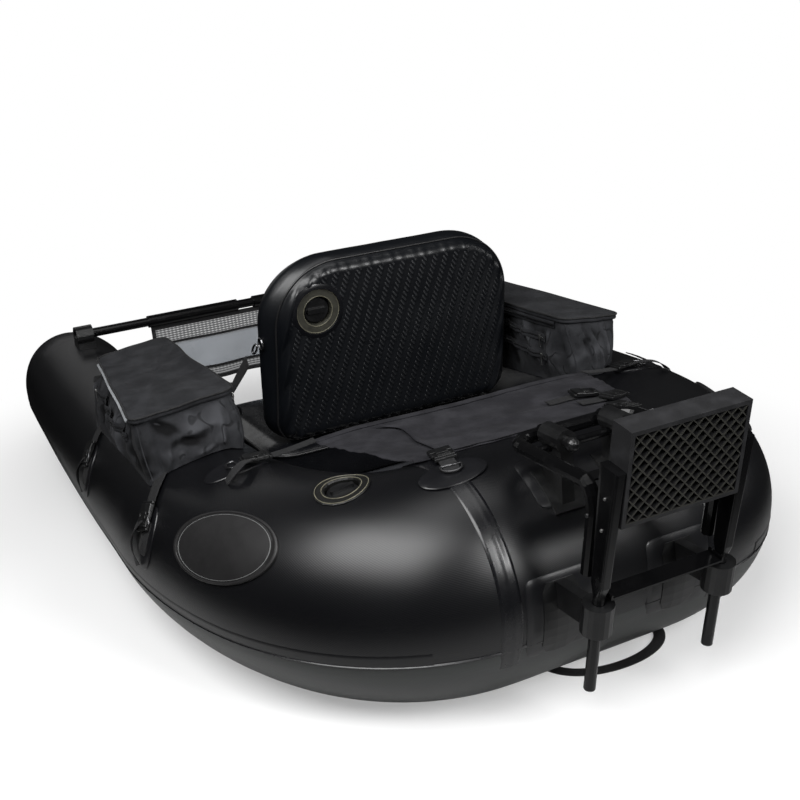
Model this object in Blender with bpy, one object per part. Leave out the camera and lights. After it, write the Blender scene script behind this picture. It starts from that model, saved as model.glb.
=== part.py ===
# Float tube: an inflated U hull with a padded seat and backrest, two saddle bags,
# a crossbar with its apron, a fabric cover over the stern, and a motor mount.
# Hull frame: y = 0 on the stern tube's centre line, +Y to the bow, +X to starboard, z = 0 on the ground.
import math
import bmesh
import bpy
import numpy as np
from mathutils import Matrix, Vector

# Hull
stern_radius = 0.1868
leg_radius = 0.162
tip_radius = 0.1293
stern_half = 0.148
leg_half_span = 0.4263
tip_half_span = 0.4284
corner_end_y = 0.4939
tip_y = 1.448
corner_handle_leg = 0.1667
corner_handle_stern = 0.2234
bow_rest_y = 0.701
bow_lift = 0.0576
nose_length = 0.190
nose_rise = 0.029
nose_close_share = 0.93
hull_sides = 28
stern_rings = 2
corner_rings = 15
leg_rings = 7
nose_rings = 5

# Clearances
touch_gap = 0.0003
hull_gap = 0.0008
cut_gap = 0.0005
overrun = 0.02

# Seam tapes
tape_x = 0.193
tape_width = 0.036
tape_thickness = 0.0012
tape_inner_angle = math.radians(-38)
tape_outer_angle = math.radians(113)
tape_steps = 26
tape_columns = 3

over_tape = hull_gap + tape_thickness + 3 * touch_gap

# Badge patches
badge_station = 0.472
badge_angle = math.radians(54)
badge_half_length = 0.122
badge_half_height = 0.061
badge_tilt = math.radians(8)
badge_thickness = 0.003
badge_rim = 0.0012
badge_points = 24

# Air valves
valve_radius = 0.046
valve_flange = 0.0035
valve_cup_radius = 0.028
valve_cup_depth = 0.012
valve_wall = 0.0025
valve_floor = 0.004
valve_pocket_depth = 0.030
valve_cap_radius = 0.0262
valve_cap_height = 0.008
valve_bar_length = 0.040
valve_bar_width = 0.009
valve_bar_height = 0.006
valve_stem_radius = 0.004
valve_stem_length = 0.011
valve_bore_radius = 0.006
port_valve_station = 0.330
port_valve_angle = math.radians(8)
starboard_valve_y = 0.8415
starboard_valve_angle = math.radians(4)
valve_segments = 16

# Seat floor, seat and backrest
floor_z = 0.148
floor_thickness = 0.004
floor_front_station = 1.20
seat_clearance = 0.0023
seat_half_width = leg_half_span - leg_radius - seat_clearance
seat_back_y = 0.555
seat_front_y = 0.925
seat_edge_height = 0.085
seat_crown = 0.008
seat_corner = 0.06
seat_channel_count = 4
seat_channel_depth = 0.006
back_centre_x = 0.014
back_clearance = 0.0033
back_half_width = leg_half_span - leg_radius - back_clearance
back_height = 0.366
back_thickness = 0.09
back_top_corner = 0.13
back_bottom_corner = 0.05
back_lean = 0.1203
back_crown = 0.005
back_panel_inset = 0.048
back_groove = 0.004
hinge_y = 0.653
back_foot_drop = 0.0067
back_valve_x = -0.146
back_valve_up = 0.265
flap_half_width = 0.20
flap_depth = 0.075
flap_thickness = 0.0025
ring_up = 0.205
ring_radius = 0.011
ring_wire = 0.002
ring_segments = 12
back_strap_foot_y = 0.81
back_strap_foot_angle = math.radians(-62)
back_strap_foot_share = 0.25
back_strap_foot_steps = 5
back_strap_steps = 9
back_strap_knee = 0.012
back_strap_width = 0.024
back_strap_clearance = 0.009
hook_width_share = 0.3

# Saddle bags: corners run rear outer, front outer, front inner, rear inner; x is outward from the leg's middle
bag_top_corners = {
    "port": ((0.1187, 0.452, 0.393), (0.0617, 0.896, 0.393), (-0.0743, 0.893, 0.410), (-0.0693, 0.457, 0.410)),
    "starboard": ((-0.0093, 0.357, 0.416), (-0.0273, 0.800, 0.416), (-0.1203, 0.800, 0.422), (-0.1203, 0.385, 0.422)),
}
bag_foot_corners = {
    "port": ((0.0857, 0.452, 0.265), (0.0637, 0.896, 0.265), (-0.0813, 0.893, 0.285), (-0.0793, 0.452, 0.285)),
    "starboard": ((-0.0263, 0.355, 0.275), (-0.0263, 0.800, 0.275), (-0.1143, 0.800, 0.275), (-0.1143, 0.390, 0.275)),
}
bag_corner = 0.025
bag_corner_points = 4
bag_levels = (0.4, 0.8)
bag_wall = 0.006
bag_cavity_z = 0.333
bag_sag = 0.007
lid_gap = 0.0008
lid_thickness = 0.010
lid_overhang = 0.004
lid_crown = 0.004
pull_width = 0.008
pull_thickness = 0.003
pull_length = 0.021
pull_drop = 0.003
pull_rest = 0.045

# Straps round the hull
web_width = 0.025
web_thickness = 0.0022
patch_thickness = 0.0014
patch_half_length = 0.0575
patch_half_width = 0.031
patch_points = 16
buckle_width = 0.034
buckle_thickness = 0.010
buckle_length = 0.026
strap_step = 0.0115
web_hem = 0.0006
bag_strap_ys = (0.3838, 0.7965)
bag_strap_slant = 0.045
bag_strap_top_angle = math.radians(33)
bag_strap_buckle_angle = math.radians(57)
bag_patch_angle = math.radians(69)
corner_patch_station = 0.578
corner_patch_angle = math.radians(5)
corner_strap_stop = 0.002
corner_strap_lift = 0.0008
stern_patch_x = 0.188
stern_patch_y = -0.028
stern_strap_x = 0.165
stern_strap_y = 0.0455
stern_buckle_at = 0.030

# Cover over the stern and cargo space
cover_corner_x = 0.283
cover_corner_y = 0.289
cover_corner_rise = 0.025
cover_rear_half_width = 0.2
cover_rear_y = 0.05
cover_front_y = 0.264
cover_front_rise = 0.038
cover_side_share = 0.6
cover_thickness = 0.002
cover_sag = 0.008
cover_columns = 14
cover_rows = 6

# Crossbar and apron
bar_y = 1.368
bar_z = 0.340
bar_radius = 0.011
bar_outer_radius = 0.015
bar_bore_radius = 0.0113
bar_end_overlap = 0.106
sleeve_beyond_apron = 0.006
sleeve_inner_x = 0.022
centre_tube_overlap = 0.05
socket_radius = 0.0215
socket_outer_reach = 0.0086
socket_inner_reach = 0.0324
bar_end_reach = 0.0046
socket_foot_width = 0.05
bar_segments = 16
apron_clearance = 0.0491
apron_bottom_z = 0.165
apron_thickness = 0.002
apron_fold = 0.007
apron_fold_count = 3
apron_columns = 24
apron_rows = 6

# Motor mount
mount_rake = 0.1878
board_back_y = -0.3504
board_top_z = 0.5056
board_height = 0.1481
board_depth = 0.0397
board_rim = 0.006
lattice_columns = 10
lattice_rows = 7
lattice_bar = 0.0028
lattice_depth = 0.009
post_x = 0.1096
post_width = 0.0165
post_top_depth = 0.040
post_foot_depth = 0.027
post_top_drop = 0.060
cheek_stop = 0.0111
post_end = 0.4327
post_tube_radius = 0.009
post_segments = 16
rail_radius = 0.011
rail_x = 0.1085
rail_z = 0.412
rail_front_y = -0.068
rail_corner = 0.034
rail_bend = 0.050
rail_stop = 0.0311
rail_sides = 10
boss_x = 0.055
boss_front_y = -0.086
boss_back_y = -0.136
boss_radius = 0.018
boss_z = 0.419
boss_web_width = 0.022
boss_base_half_width = 0.028
boss_base_half_length = 0.040
boss_base_thickness = 0.004
boss_segments = 16
pin_radius = 0.005
pin_clearance = 0.0004
pin_tip_y = -0.078
pin_ball_radius = 0.011
pin_collar_radius = 0.0085
pin_collar_length = 0.006
stub_radius = 0.009
rod_radius = 0.006
rod_y = -0.108
rod_z = 0.404
upper_tie_depth = 0.026
upper_tie_share = 0.35
tie_depth = 0.030
tie_thickness = 0.003
tie_above_ring = 0.010
tie_lip = 0.008
ring_height = 0.048
ring_outer_radius = 0.0235
ring_clearance = 0.0006
ring_drop = 0.3031
bracket_half_width = 0.032
bracket_above_ring = math.radians(6.4)
bracket_below_ring = math.radians(29.6)
bracket_thickness = 0.004
bracket_ridge_width = 0.020
neck_height = 0.042
neck_width = 0.018

# Carry handle
handle_half_span = 0.112
handle_centre_x = 0.058
handle_root_y = -0.033
handle_reach_y = -0.118
handle_width = 0.020
handle_thickness = 0.003
handle_steps = 16

board_half_width = post_x - post_width / 2
cover_corner_z = 2 * leg_radius + cover_corner_rise
cover_front_z = 2 * leg_radius + cover_front_rise
apron_half_width = tip_half_span - tip_radius - apron_clearance
sleeve_outer_x = apron_half_width + sleeve_beyond_apron
socket_outer_x = tip_half_span + socket_outer_reach
socket_inner_x = tip_half_span - socket_inner_reach
bar_end_x = tip_half_span + bar_end_reach
post_cheek_end = ring_drop - ring_height / 2 - cheek_stop
rail_low_drop = ring_drop - ring_height / 2 - rail_stop
ring_z = board_top_z + math.sin(mount_rake) * board_depth / 2 - math.cos(mount_rake) * ring_drop
ring_angle = math.acos((ring_z - stern_radius) / stern_radius)
bracket_top_angle = ring_angle - bracket_above_ring
bracket_low_angle = ring_angle + bracket_below_ring
seat_base_z = floor_z + floor_thickness / 2 + touch_gap
flap_base_z = seat_base_z + seat_edge_height + seat_crown + touch_gap
hinge_z = flap_base_z + flap_thickness + touch_gap + back_foot_drop
nose_tip_y = tip_y + nose_length
middle_y = (nose_tip_y + board_back_y) / 2
sides = {"port": -1, "starboard": 1}


def clear_scene():
    for obj in list(bpy.data.objects):
        bpy.data.objects.remove(obj, do_unlink=True)


def finish(name, colour, roughness, metallic=0.0):
    material = bpy.data.materials.get(name)
    if material is None:
        material = bpy.data.materials.new(name)
        material.use_nodes = True
        shader = material.node_tree.nodes["Principled BSDF"]
        shader.inputs["Base Color"].default_value = (*colour, 1.0)
        shader.inputs["Roughness"].default_value = roughness
        shader.inputs["Metallic"].default_value = metallic
    return material


def pvc_black():
    return finish("pvc_black", (0.012, 0.012, 0.014), 0.38)


def nylon_black():
    return finish("nylon_black", (0.02, 0.02, 0.022), 0.85)


def webbing_black():
    return finish("webbing_black", (0.015, 0.015, 0.016), 0.8)


def plastic_black():
    return finish("plastic_black", (0.018, 0.018, 0.02), 0.45)


def tube_black():
    return finish("tube_black", (0.01, 0.01, 0.011), 0.25, 0.3)


def valve_olive():
    return finish("valve_olive", (0.16, 0.15, 0.11), 0.5)


def mesh_grey():
    return finish("mesh_grey", (0.45, 0.46, 0.48), 0.8)


def steel():
    return finish("steel", (0.6, 0.6, 0.6), 0.3, 1.0)


def add_mesh(name, bm, material, pivot=(0, 0, 0), sharp=math.radians(35)):
    bmesh.ops.recalc_face_normals(bm, faces=bm.faces)
    bmesh.ops.translate(bm, verts=bm.verts, vec=-Vector(pivot))
    mesh = bpy.data.meshes.new(name)
    bm.to_mesh(mesh)
    bm.free()
    mesh.shade_smooth()
    mesh.set_sharp_from_angle(angle=sharp)
    mesh.materials.append(material)
    obj = bpy.data.objects.new(name, mesh)
    bpy.context.scene.collection.objects.link(obj)
    obj.location = pivot
    obj.parent = root
    return obj


def as_tool(obj):
    obj.hide_render = True
    obj.display_type = "WIRE"
    return obj


def combine(obj, tool, operation):
    modifier = obj.modifiers.new(operation.lower() + "_" + tool.name, "BOOLEAN")
    modifier.operation = operation
    modifier.solver = "EXACT"
    modifier.object = tool
    return obj


def loft(name, rings, material, pivot=(0, 0, 0), closed=False, sharp=math.radians(35)):
    bm = bmesh.new()
    rows = [[bm.verts.new(point) for point in ring] for ring in rings]
    count = len(rows[0])
    pairs = list(zip(rows, rows[1:]))
    if closed:
        pairs.append((rows[-1], rows[0]))
    for low, high in pairs:
        for k in range(count):
            n = (k + 1) % count
            bm.faces.new((low[k], low[n], high[n], high[k]))
    if not closed:
        bm.faces.new(rows[0])
        bm.faces.new(rows[-1])
    return add_mesh(name, bm, material, pivot, sharp)


def circle(radius, count):
    turns = [2 * math.pi * k / count for k in range(count)]
    return [(radius * math.cos(a), radius * math.sin(a)) for a in turns]


def rod(name, start, end, radius, count, material, pivot=(0, 0, 0)):
    start, end = Vector(start), Vector(end)
    across, up = cross_axes(end - start)
    rings = [[p + across * x + up * y for x, y in circle(radius, count)] for p in (start, end)]
    return loft(name, rings, material, pivot)


def pipe(name, start, end, radius, bore, count, material, pivot=(0, 0, 0)):
    start, end = Vector(start), Vector(end)
    across, up = cross_axes(end - start)
    rings = []
    for p, size in ((start, radius), (end, radius), (end, bore), (start, bore)):
        rings.append([p + across * x + up * y for x, y in circle(size, count)])
    return loft(name, rings, material, pivot, closed=True)


def cross_axes(direction):
    direction = Vector(direction).normalized()
    reference = Vector((0, 0, 1)) if abs(direction.z) < 0.9 else Vector((0, 1, 0))
    across = direction.cross(reference).normalized()
    return across, across.cross(direction).normalized()


def box(name, low, high, material, pivot=(0, 0, 0)):
    rings = []
    for z in (low[2], high[2]):
        rings.append([Vector((x, y, z)) for x, y in ((low[0], low[1]), (high[0], low[1]),
                                                    (high[0], high[1]), (low[0], high[1]))])
    return loft(name, rings, material, pivot)


def rounded_rectangle(half_x, half_y, corner, per_corner):
    points = []
    for turn, (sx, sy) in enumerate(((1, 1), (-1, 1), (-1, -1), (1, -1))):
        for k in range(per_corner + 1):
            angle = math.pi / 2 * (turn + k / per_corner)
            points.append((sx * (half_x - corner) + corner * math.cos(angle),
                           sy * (half_y - corner) + corner * math.sin(angle)))
    return points


def turned(name, profile, axis_point, axis, count, material, pivot=(0, 0, 0)):
    axis_point, axis = Vector(axis_point), Vector(axis).normalized()
    across, up = cross_axes(axis)
    rings = []
    for radius, height in profile:
        centre = axis_point + axis * height
        rings.append([centre + across * x + up * y for x, y in circle(radius, count)])
    return loft(name, rings, material, pivot)


# The hull's centre line: rows of x, y, z and radius, from the starboard nose to the port nose
def hull_centre_line():
    rows = [(-stern_half * k / stern_rings, 0, stern_radius, stern_radius) for k in range(stern_rings)]
    start, end = Vector((-stern_half, 0)), Vector((-leg_half_span, corner_end_y))
    leg_way = Vector((leg_half_span - tip_half_span, tip_y - corner_end_y)).normalized()
    first = start - Vector((corner_handle_stern, 0))
    second = end - leg_way * corner_handle_leg
    for k in range(corner_rings):
        u = k / corner_rings
        v = 1 - u
        p = start * v ** 3 + first * 3 * v * v * u + second * 3 * v * u * u + end * u ** 3
        radius = leg_radius + (stern_radius - leg_radius) * v ** 1.5
        rows.append((p.x, p.y, radius, radius))
    for k in range(leg_rings):
        u = k / leg_rings
        y = corner_end_y + (tip_y - corner_end_y) * u
        x = -leg_half_span - (tip_half_span - leg_half_span) * u
        radius = leg_radius + (tip_radius - leg_radius) * u
        climb = max(0, (y - bow_rest_y) / (tip_y - bow_rest_y))
        rows.append((x, y, radius + bow_lift * climb ** 2, radius))
    for k in range(nose_rings + 1):
        t = math.sin(math.pi / 2 * k / nose_rings)
        radius = tip_radius * math.sqrt(1 - nose_close_share * t * t)
        rows.append((-tip_half_span, tip_y + nose_length * t, tip_radius + bow_lift + nose_rise * t, radius))
    port = np.array(rows)
    starboard = port[:0:-1] * np.array([-1, 1, 1, 1])
    return np.concatenate([starboard, port])


def line_stations(line):
    steps = np.linalg.norm(np.diff(line[:, :2], axis=0), axis=1)
    along = np.concatenate([[0], np.cumsum(steps)])
    return along - along[len(line) // 2]


# Centre, outward way, upward way and radius at a distance along the centre line from the stern's middle
def hull_frame(station):
    def at(s):
        return Vector([float(np.interp(s, hull_stations, hull_line[:, i])) for i in range(3)])
    tangent = (at(station + strap_step) - at(station - strap_step)).normalized()
    outward = Vector((0, 0, 1)).cross(tangent).normalized()
    upward = tangent.cross(outward).normalized()
    radius = float(np.interp(station, hull_stations, hull_line[:, 3]))
    return at(station), outward, upward, radius


# The distance along the centre line at which a leg reaches a place along Y
def leg_station(y):
    return float(np.interp(y, port_leg_y, port_leg_station))


# A point on the hull: the angle runs from the crown, positive to the outside
def on_hull(station, angle, lift=0):
    centre, outward, upward, radius = hull_frame(station)
    return centre + (upward * math.cos(angle) + outward * math.sin(angle)) * (radius + lift)


# The nearest place on the hull to a point, lifted off the skin, with the skin's normal
def snap_to_hull(point, lift=0):
    p = np.array(point)
    starts, ends = hull_line[:-1], hull_line[1:]
    spans = ends[:, :3] - starts[:, :3]
    share = np.clip(((p - starts[:, :3]) * spans).sum(1) / (spans ** 2).sum(1), 0, 1)
    nearest = starts + (ends - starts) * share[:, None]
    best = int(np.argmin(np.linalg.norm(nearest[:, :3] - p, axis=1) - nearest[:, 3]))
    centre = Vector(nearest[best, :3])
    normal = (Vector(point) - centre).normalized()
    return centre + normal * (float(nearest[best, 3]) + lift), normal


def hull_rings(lift):
    rings = []
    for station in hull_stations:
        angles = [2 * math.pi * k / hull_sides for k in range(hull_sides)]
        rings.append([on_hull(station, a, lift) for a in angles])
    return rings


def make_hull():
    return loft("hull_tube", hull_rings(0), pvc_black())


def make_hull_envelope():
    return as_tool(loft("hull_envelope", hull_rings(cut_gap), pvc_black()))


def make_seam_tape(side, sign):
    rings = []
    for k in range(tape_steps + 1):
        angle = tape_inner_angle + (tape_outer_angle - tape_inner_angle) * k / tape_steps
        ring = []
        columns = [k / tape_columns - 0.5 for k in range(tape_columns + 1)]
        for shift, lift in [(c, 0) for c in columns] + [(c, 1) for c in reversed(columns)]:
            across = sign * (tape_x + shift * tape_width)
            flat = Vector((across, -stern_radius * math.sin(angle), stern_radius * (1 + math.cos(angle))))
            ring.append(snap_to_hull(flat, hull_gap + lift * tape_thickness)[0])
        rings.append(ring)
    return loft("seam_tape_" + side, rings, pvc_black())


# A disc that follows the hull; profile rows are (share of the outline, height)
def hull_disc(name, centre, normal, along, half_length, half_height, profile, count, material):
    across = normal.cross(along).normalized()
    along = across.cross(normal).normalized()
    rings = []
    for share, height in profile:
        ring = []
        for x, y in circle(share, count):
            flat = centre + along * (x * half_length) + across * (y * half_height)
            ring.append(snap_to_hull(flat, hull_gap + height)[0])
        rings.append(ring)
    return loft(name, rings, material)


def make_badge(side, sign):
    station = -sign * badge_station
    centre, outward, upward, radius = hull_frame(station)
    normal = (upward * math.cos(badge_angle) + outward * math.sin(badge_angle)).normalized()
    along = outward.cross(upward).normalized()
    along = Matrix.Rotation(-sign * badge_tilt, 3, normal) @ along
    top = badge_thickness
    shares = (0.12, 0.42, 0.7)
    profile = [(share, 0) for share in shares + (1.0,)]
    profile += [(1.0, top * 0.6), (0.985, top + badge_rim), (0.94, top + badge_rim), (0.92, top)]
    profile += [(share, top) for share in reversed(shares)]
    return hull_disc("badge_patch_" + side, centre + normal * radius, normal, along,
                     badge_half_length, badge_half_height, profile, badge_points, pvc_black())


# Air valve: a cup with a flange, and the cap and stem in it; follow is true on the curved hull
def make_valve(name, centre, normal, host, follow, with_stem):
    normal = normal.normalized()
    across, up = cross_axes(normal)
    wall = valve_cup_radius + valve_wall
    flange_low = hull_gap if follow else touch_gap

    def place(x, y, height, on_skin):
        flat = centre + across * x + up * y
        if on_skin and follow:
            return snap_to_hull(flat, height)[0]
        return flat + normal * height

    profile = [(wall, flange_low, True), (valve_radius, flange_low, True),
               (valve_radius, valve_flange * 0.7, True), (valve_radius - valve_wall, valve_flange, True),
               (valve_cup_radius + valve_wall / 2, valve_flange, True),
               (valve_cup_radius, flange_low, True),
               (valve_cup_radius, -valve_cup_depth, False), (valve_bore_radius, -valve_cup_depth, False),
               (valve_bore_radius, -valve_cup_depth - valve_floor, False),
               (wall, -valve_cup_depth - valve_floor, False)]
    rings = []
    for radius, height, on_skin in profile:
        rings.append([place(x, y, height, on_skin) for x, y in circle(radius, valve_segments)])
    loft(name + "_base", rings, valve_olive(), closed=True)
    pocket_radius = wall + cut_gap
    pocket = rod(name + "_pocket", centre - normal * valve_pocket_depth, centre + normal * overrun,
                 pocket_radius, valve_segments, pvc_black())
    combine(host, as_tool(pocket), "DIFFERENCE")
    cap_low = -valve_cup_depth + touch_gap
    cap = turned(name + "_cap", [(valve_cap_radius - valve_wall, cap_low), (valve_cap_radius, cap_low + valve_wall),
                                 (valve_cap_radius, cap_low + valve_cap_height - valve_wall),
                                 (valve_cap_radius - valve_wall, cap_low + valve_cap_height)],
                 centre, normal, valve_segments, plastic_black(), pivot=centre)
    bar_low = cap_low + valve_cap_height / 2
    bar_rings = []
    for height in (bar_low, cap_low + valve_cap_height + valve_bar_height):
        outline = rounded_rectangle(valve_bar_length / 2, valve_bar_width / 2, valve_bar_width / 3, 2)
        bar_rings.append([centre + across * x + up * y + normal * height for x, y in outline])
    bar = loft(name + "_cap_bar", bar_rings, plastic_black(), pivot=centre)
    combine(cap, as_tool(bar), "UNION")
    if with_stem:
        stem_top = centre + normal * (-valve_cup_depth - touch_gap)
        rod(name + "_stem", stem_top - normal * valve_stem_length, stem_top, valve_stem_radius,
            8, steel(), pivot=stem_top)


def make_hull_valves(hull):
    places = {"port": (port_valve_station, port_valve_angle),
              "starboard": (-leg_station(starboard_valve_y), starboard_valve_angle)}
    for side, (station, angle) in places.items():
        centre, outward, upward, radius = hull_frame(station)
        normal = upward * math.cos(angle) + outward * math.sin(angle)
        make_valve(side + "_valve", centre + normal * radius, normal, hull, True, True)


# Fabric floor between the legs: its edge follows the inner wall at the floor's height
def make_seat_floor():
    count = 26
    outline = []
    for k in range(count + 1):
        station = floor_front_station * (2 * k / count - 1)
        centre, outward, upward, radius = hull_frame(station)
        reach = math.sqrt(radius ** 2 - (floor_z - centre.z) ** 2) + hull_gap
        inner = centre - outward * reach
        if not outline or (inner - outline[-1]).length > 2 * hull_gap:
            outline.append(inner)
    rings = []
    for z in (floor_z - floor_thickness / 2, floor_z + floor_thickness / 2):
        rings.append([Vector((p.x, p.y, z)) for p in outline])
    return loft("seat_floor", rings, nylon_black())


# A padded slab: outline shares and depths from the lower face's middle, out round the side, to the upper face
def padded_slab(name, outline, place, lower, upper, edge, channel, material, pivot):
    rings = []
    for share, depth in lower:
        rings.append([place(x * share, y * share, depth) for x, y in outline])
    for inset, depth in edge:
        rings.append([place(x * (1 - inset), y * (1 - inset), depth) for x, y in outline])
    for share, depth in upper:
        rings.append([place(x * share, y * share, depth + channel(x * share)) for x, y in outline])
    return loft(name, rings, material, pivot)


def make_seat():
    half_depth = (seat_front_y - seat_back_y) / 2
    middle = Vector((0, (seat_front_y + seat_back_y) / 2, seat_base_z))
    outline = []
    for x, y in rounded_rectangle(seat_half_width, half_depth, seat_corner, 4):
        outline.append((x, y))
    outline = spread_outline(outline, 0.045)

    def place(x, y, depth):
        return middle + Vector((x, y, depth))

    def channel(x):
        wave = math.cos(math.pi * seat_channel_count * x / seat_half_width) ** 8
        return -seat_channel_depth * wave

    top = seat_edge_height
    lower = [(0.3, 0), (0.93, 0)]
    edge = [(0.015, top * 0.1), (0.0, top * 0.3), (0.012, top * 0.5), (0.0, top * 0.7), (0.015, top * 0.9)]
    upper = [(0.93, top), (0.8, top + seat_crown * 0.6), (0.55, top + seat_crown * 0.9), (0.2, top + seat_crown)]
    return padded_slab("seat_cushion", outline, place, lower, upper, edge, channel, pvc_black(), (0, 0, 0))


# Extra points on the straight runs of an outline, so that no step is longer than the limit
def spread_outline(outline, limit):
    spread = []
    for (ax, ay), (bx, by) in zip(outline, outline[1:] + outline[:1]):
        pieces = max(1, math.ceil(math.hypot(bx - ax, by - ay) / limit))
        for k in range(pieces):
            spread.append((ax + (bx - ax) * k / pieces, ay + (by - ay) * k / pieces))
    return spread


def back_outline():
    points = []
    low, high = 0, back_height
    corners = ((1, high, back_top_corner), (-1, high, back_top_corner),
               (-1, low, back_bottom_corner), (1, low, back_bottom_corner))
    for turn, (sx, z, corner) in enumerate(corners):
        centre_z = z - corner if z else corner
        for k in range(6):
            angle = math.pi / 2 * (turn + k / 5)
            points.append((sx * (back_half_width - corner) + corner * math.cos(angle),
                           centre_z + corner * math.sin(angle)))
    return spread_outline(points, 0.07)


def back_axes():
    across = Vector((1, 0, 0))
    up = Vector((0, -math.sin(back_lean), math.cos(back_lean)))
    bow = Vector((0, math.cos(back_lean), math.sin(back_lean)))
    return across, up, bow


def make_backrest():
    hinge = Vector((back_centre_x, hinge_y, hinge_z))
    across, up, bow = back_axes()
    outline = [(x, z - back_height / 2) for x, z in back_outline()]
    middle = hinge + up * (back_height / 2)

    def place(x, z, depth):
        return middle + across * x + up * z + bow * depth

    t = back_thickness
    panel = 1 - back_panel_inset / back_half_width
    lower = [(0.25, -t), (0.6, -t), (panel, -t + back_crown), (panel + 0.03, -t + back_crown + back_groove)]
    edge = [(0.06, -t + back_crown), (0.015, -t * 0.86), (0.0, -t * 0.5), (0.015, -t * 0.14), (0.06, -back_crown)]
    upper = [(panel + 0.03, -back_crown - back_groove), (panel, -back_crown), (0.6, 0), (0.25, 0)]
    back = padded_slab("backrest", outline, place, lower, upper, edge, lambda x: 0, pvc_black(), hinge)
    face_middle = hinge + across * (back_valve_x - back_centre_x) + up * back_valve_up - bow * back_thickness
    seat_low = back_crown + touch_gap
    shelf = rod("backrest_valve_shelf", face_middle + bow * seat_low, face_middle - bow * overrun,
                valve_radius + cut_gap, valve_segments, pvc_black())
    combine(back, as_tool(shelf), "DIFFERENCE")
    make_valve("backrest_valve", face_middle + bow * seat_low, -bow, back, False, False)
    for side, sign in sides.items():
        make_back_ring(side, sign, hinge + up * ring_up - bow * (back_thickness / 2))
        make_back_strap(side, sign, hinge + up * ring_up - bow * (back_thickness / 2))
    return back


def make_back_ring(side, sign, level):
    hinge = Vector((back_centre_x, hinge_y, hinge_z))
    across, up, bow = back_axes()
    centre = level + across * sign * (back_half_width + ring_wire + touch_gap)
    rings = []
    for k in range(ring_segments):
        turn = 2 * math.pi * k / ring_segments
        spoke = up * math.cos(turn) + bow * math.sin(turn)
        ring = []
        for x, y in circle(ring_wire, 6):
            ring.append(centre + spoke * (ring_radius + x) + across * y)
        rings.append(ring)
    return loft("backrest_ring_" + side, rings, steel(), pivot=hinge, closed=True)


# Side strap: a hook at the backrest's ring, taut webbing, and a sewn foot on the leg's inner wall
def make_back_strap(side, sign, level):
    top = level + Vector((sign * (back_half_width + back_strap_clearance), 0, 0))
    foot_station = -sign * leg_station(back_strap_foot_y)
    foot_points = []
    for k in range(back_strap_foot_steps + 1):
        angle = back_strap_foot_angle * (1 + back_strap_foot_share * k / back_strap_foot_steps)
        foot_points.append(on_hull(foot_station, angle, hull_gap))
    landing, landing_normal = foot_points[0], snap_to_hull(foot_points[0])[1]
    knee = landing + (foot_points[0] - foot_points[1]).normalized() * back_strap_knee
    rings = []
    points = []
    for k in range(back_strap_steps):
        u = k / back_strap_steps
        points.append(top * (1 - u) ** 2 + knee * 2 * (1 - u) * u + landing * u * u)
    points += foot_points
    for k, point in enumerate(points):
        way = (points[min(k + 1, len(points) - 1)] - points[max(k - 1, 0)]).normalized()
        turn = min(1, k / back_strap_steps)
        outer = Vector((sign, 0, 0)) * (1 - turn) + landing_normal * turn
        if k >= back_strap_steps:
            outer = snap_to_hull(point)[1]
        thin = (outer - way * outer.dot(way)).normalized()
        wide = way.cross(thin).normalized()
        hook = k < 3
        half = back_strap_width * (hook_width_share if hook else 0.5)
        thickness = buckle_thickness / 2 if hook else web_thickness
        rings.append([point - wide * half, point + wide * half,
                      point + wide * half + thin * thickness, point - wide * half + thin * thickness])
    return loft("backrest_strap_" + side, rings, webbing_black())


def make_hinge_flap():
    low = (-flap_half_width, hinge_y - back_thickness * 0.7, flap_base_z)
    high = (flap_half_width, low[1] + flap_depth, low[2] + flap_thickness)
    return box("hinge_flap", low, high, webbing_black())


# Saddle bag: an open tub that straddles the leg, its lid and the zip's pull
# A closed outline through four corners, rounded, grown outward, at a share of the way from foot to top
def bag_outline(side, sign, share, grow, level=None):
    corners = []
    for foot, top in zip(bag_foot_corners[side], bag_top_corners[side]):
        x, y, z = [a + (b - a) * share for a, b in zip(foot, top)]
        corners.append(Vector((sign * (leg_half_span + x), y, z)))
    middle = sum(corners, Vector()) / len(corners)
    grown = []
    for corner in corners:
        away = corner - middle
        grown.append(corner + Vector((math.copysign(1, away.x), math.copysign(1, away.y), 0)) * grow)
    outline = []
    for k, corner in enumerate(grown):
        before = corner + (grown[k - 1] - corner).normalized() * bag_corner
        after = corner + (grown[(k + 1) % len(grown)] - corner).normalized() * bag_corner
        for n in range(bag_corner_points + 1):
            u = n / bag_corner_points
            outline.append(before * (1 - u) ** 2 + corner * 2 * u * (1 - u) + after * u * u)
    if level is not None:
        outline = [Vector((p.x, p.y, level)) for p in outline]
    return outline


def raised(outline, height):
    return [point + Vector((0, 0, height)) for point in outline]


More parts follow.
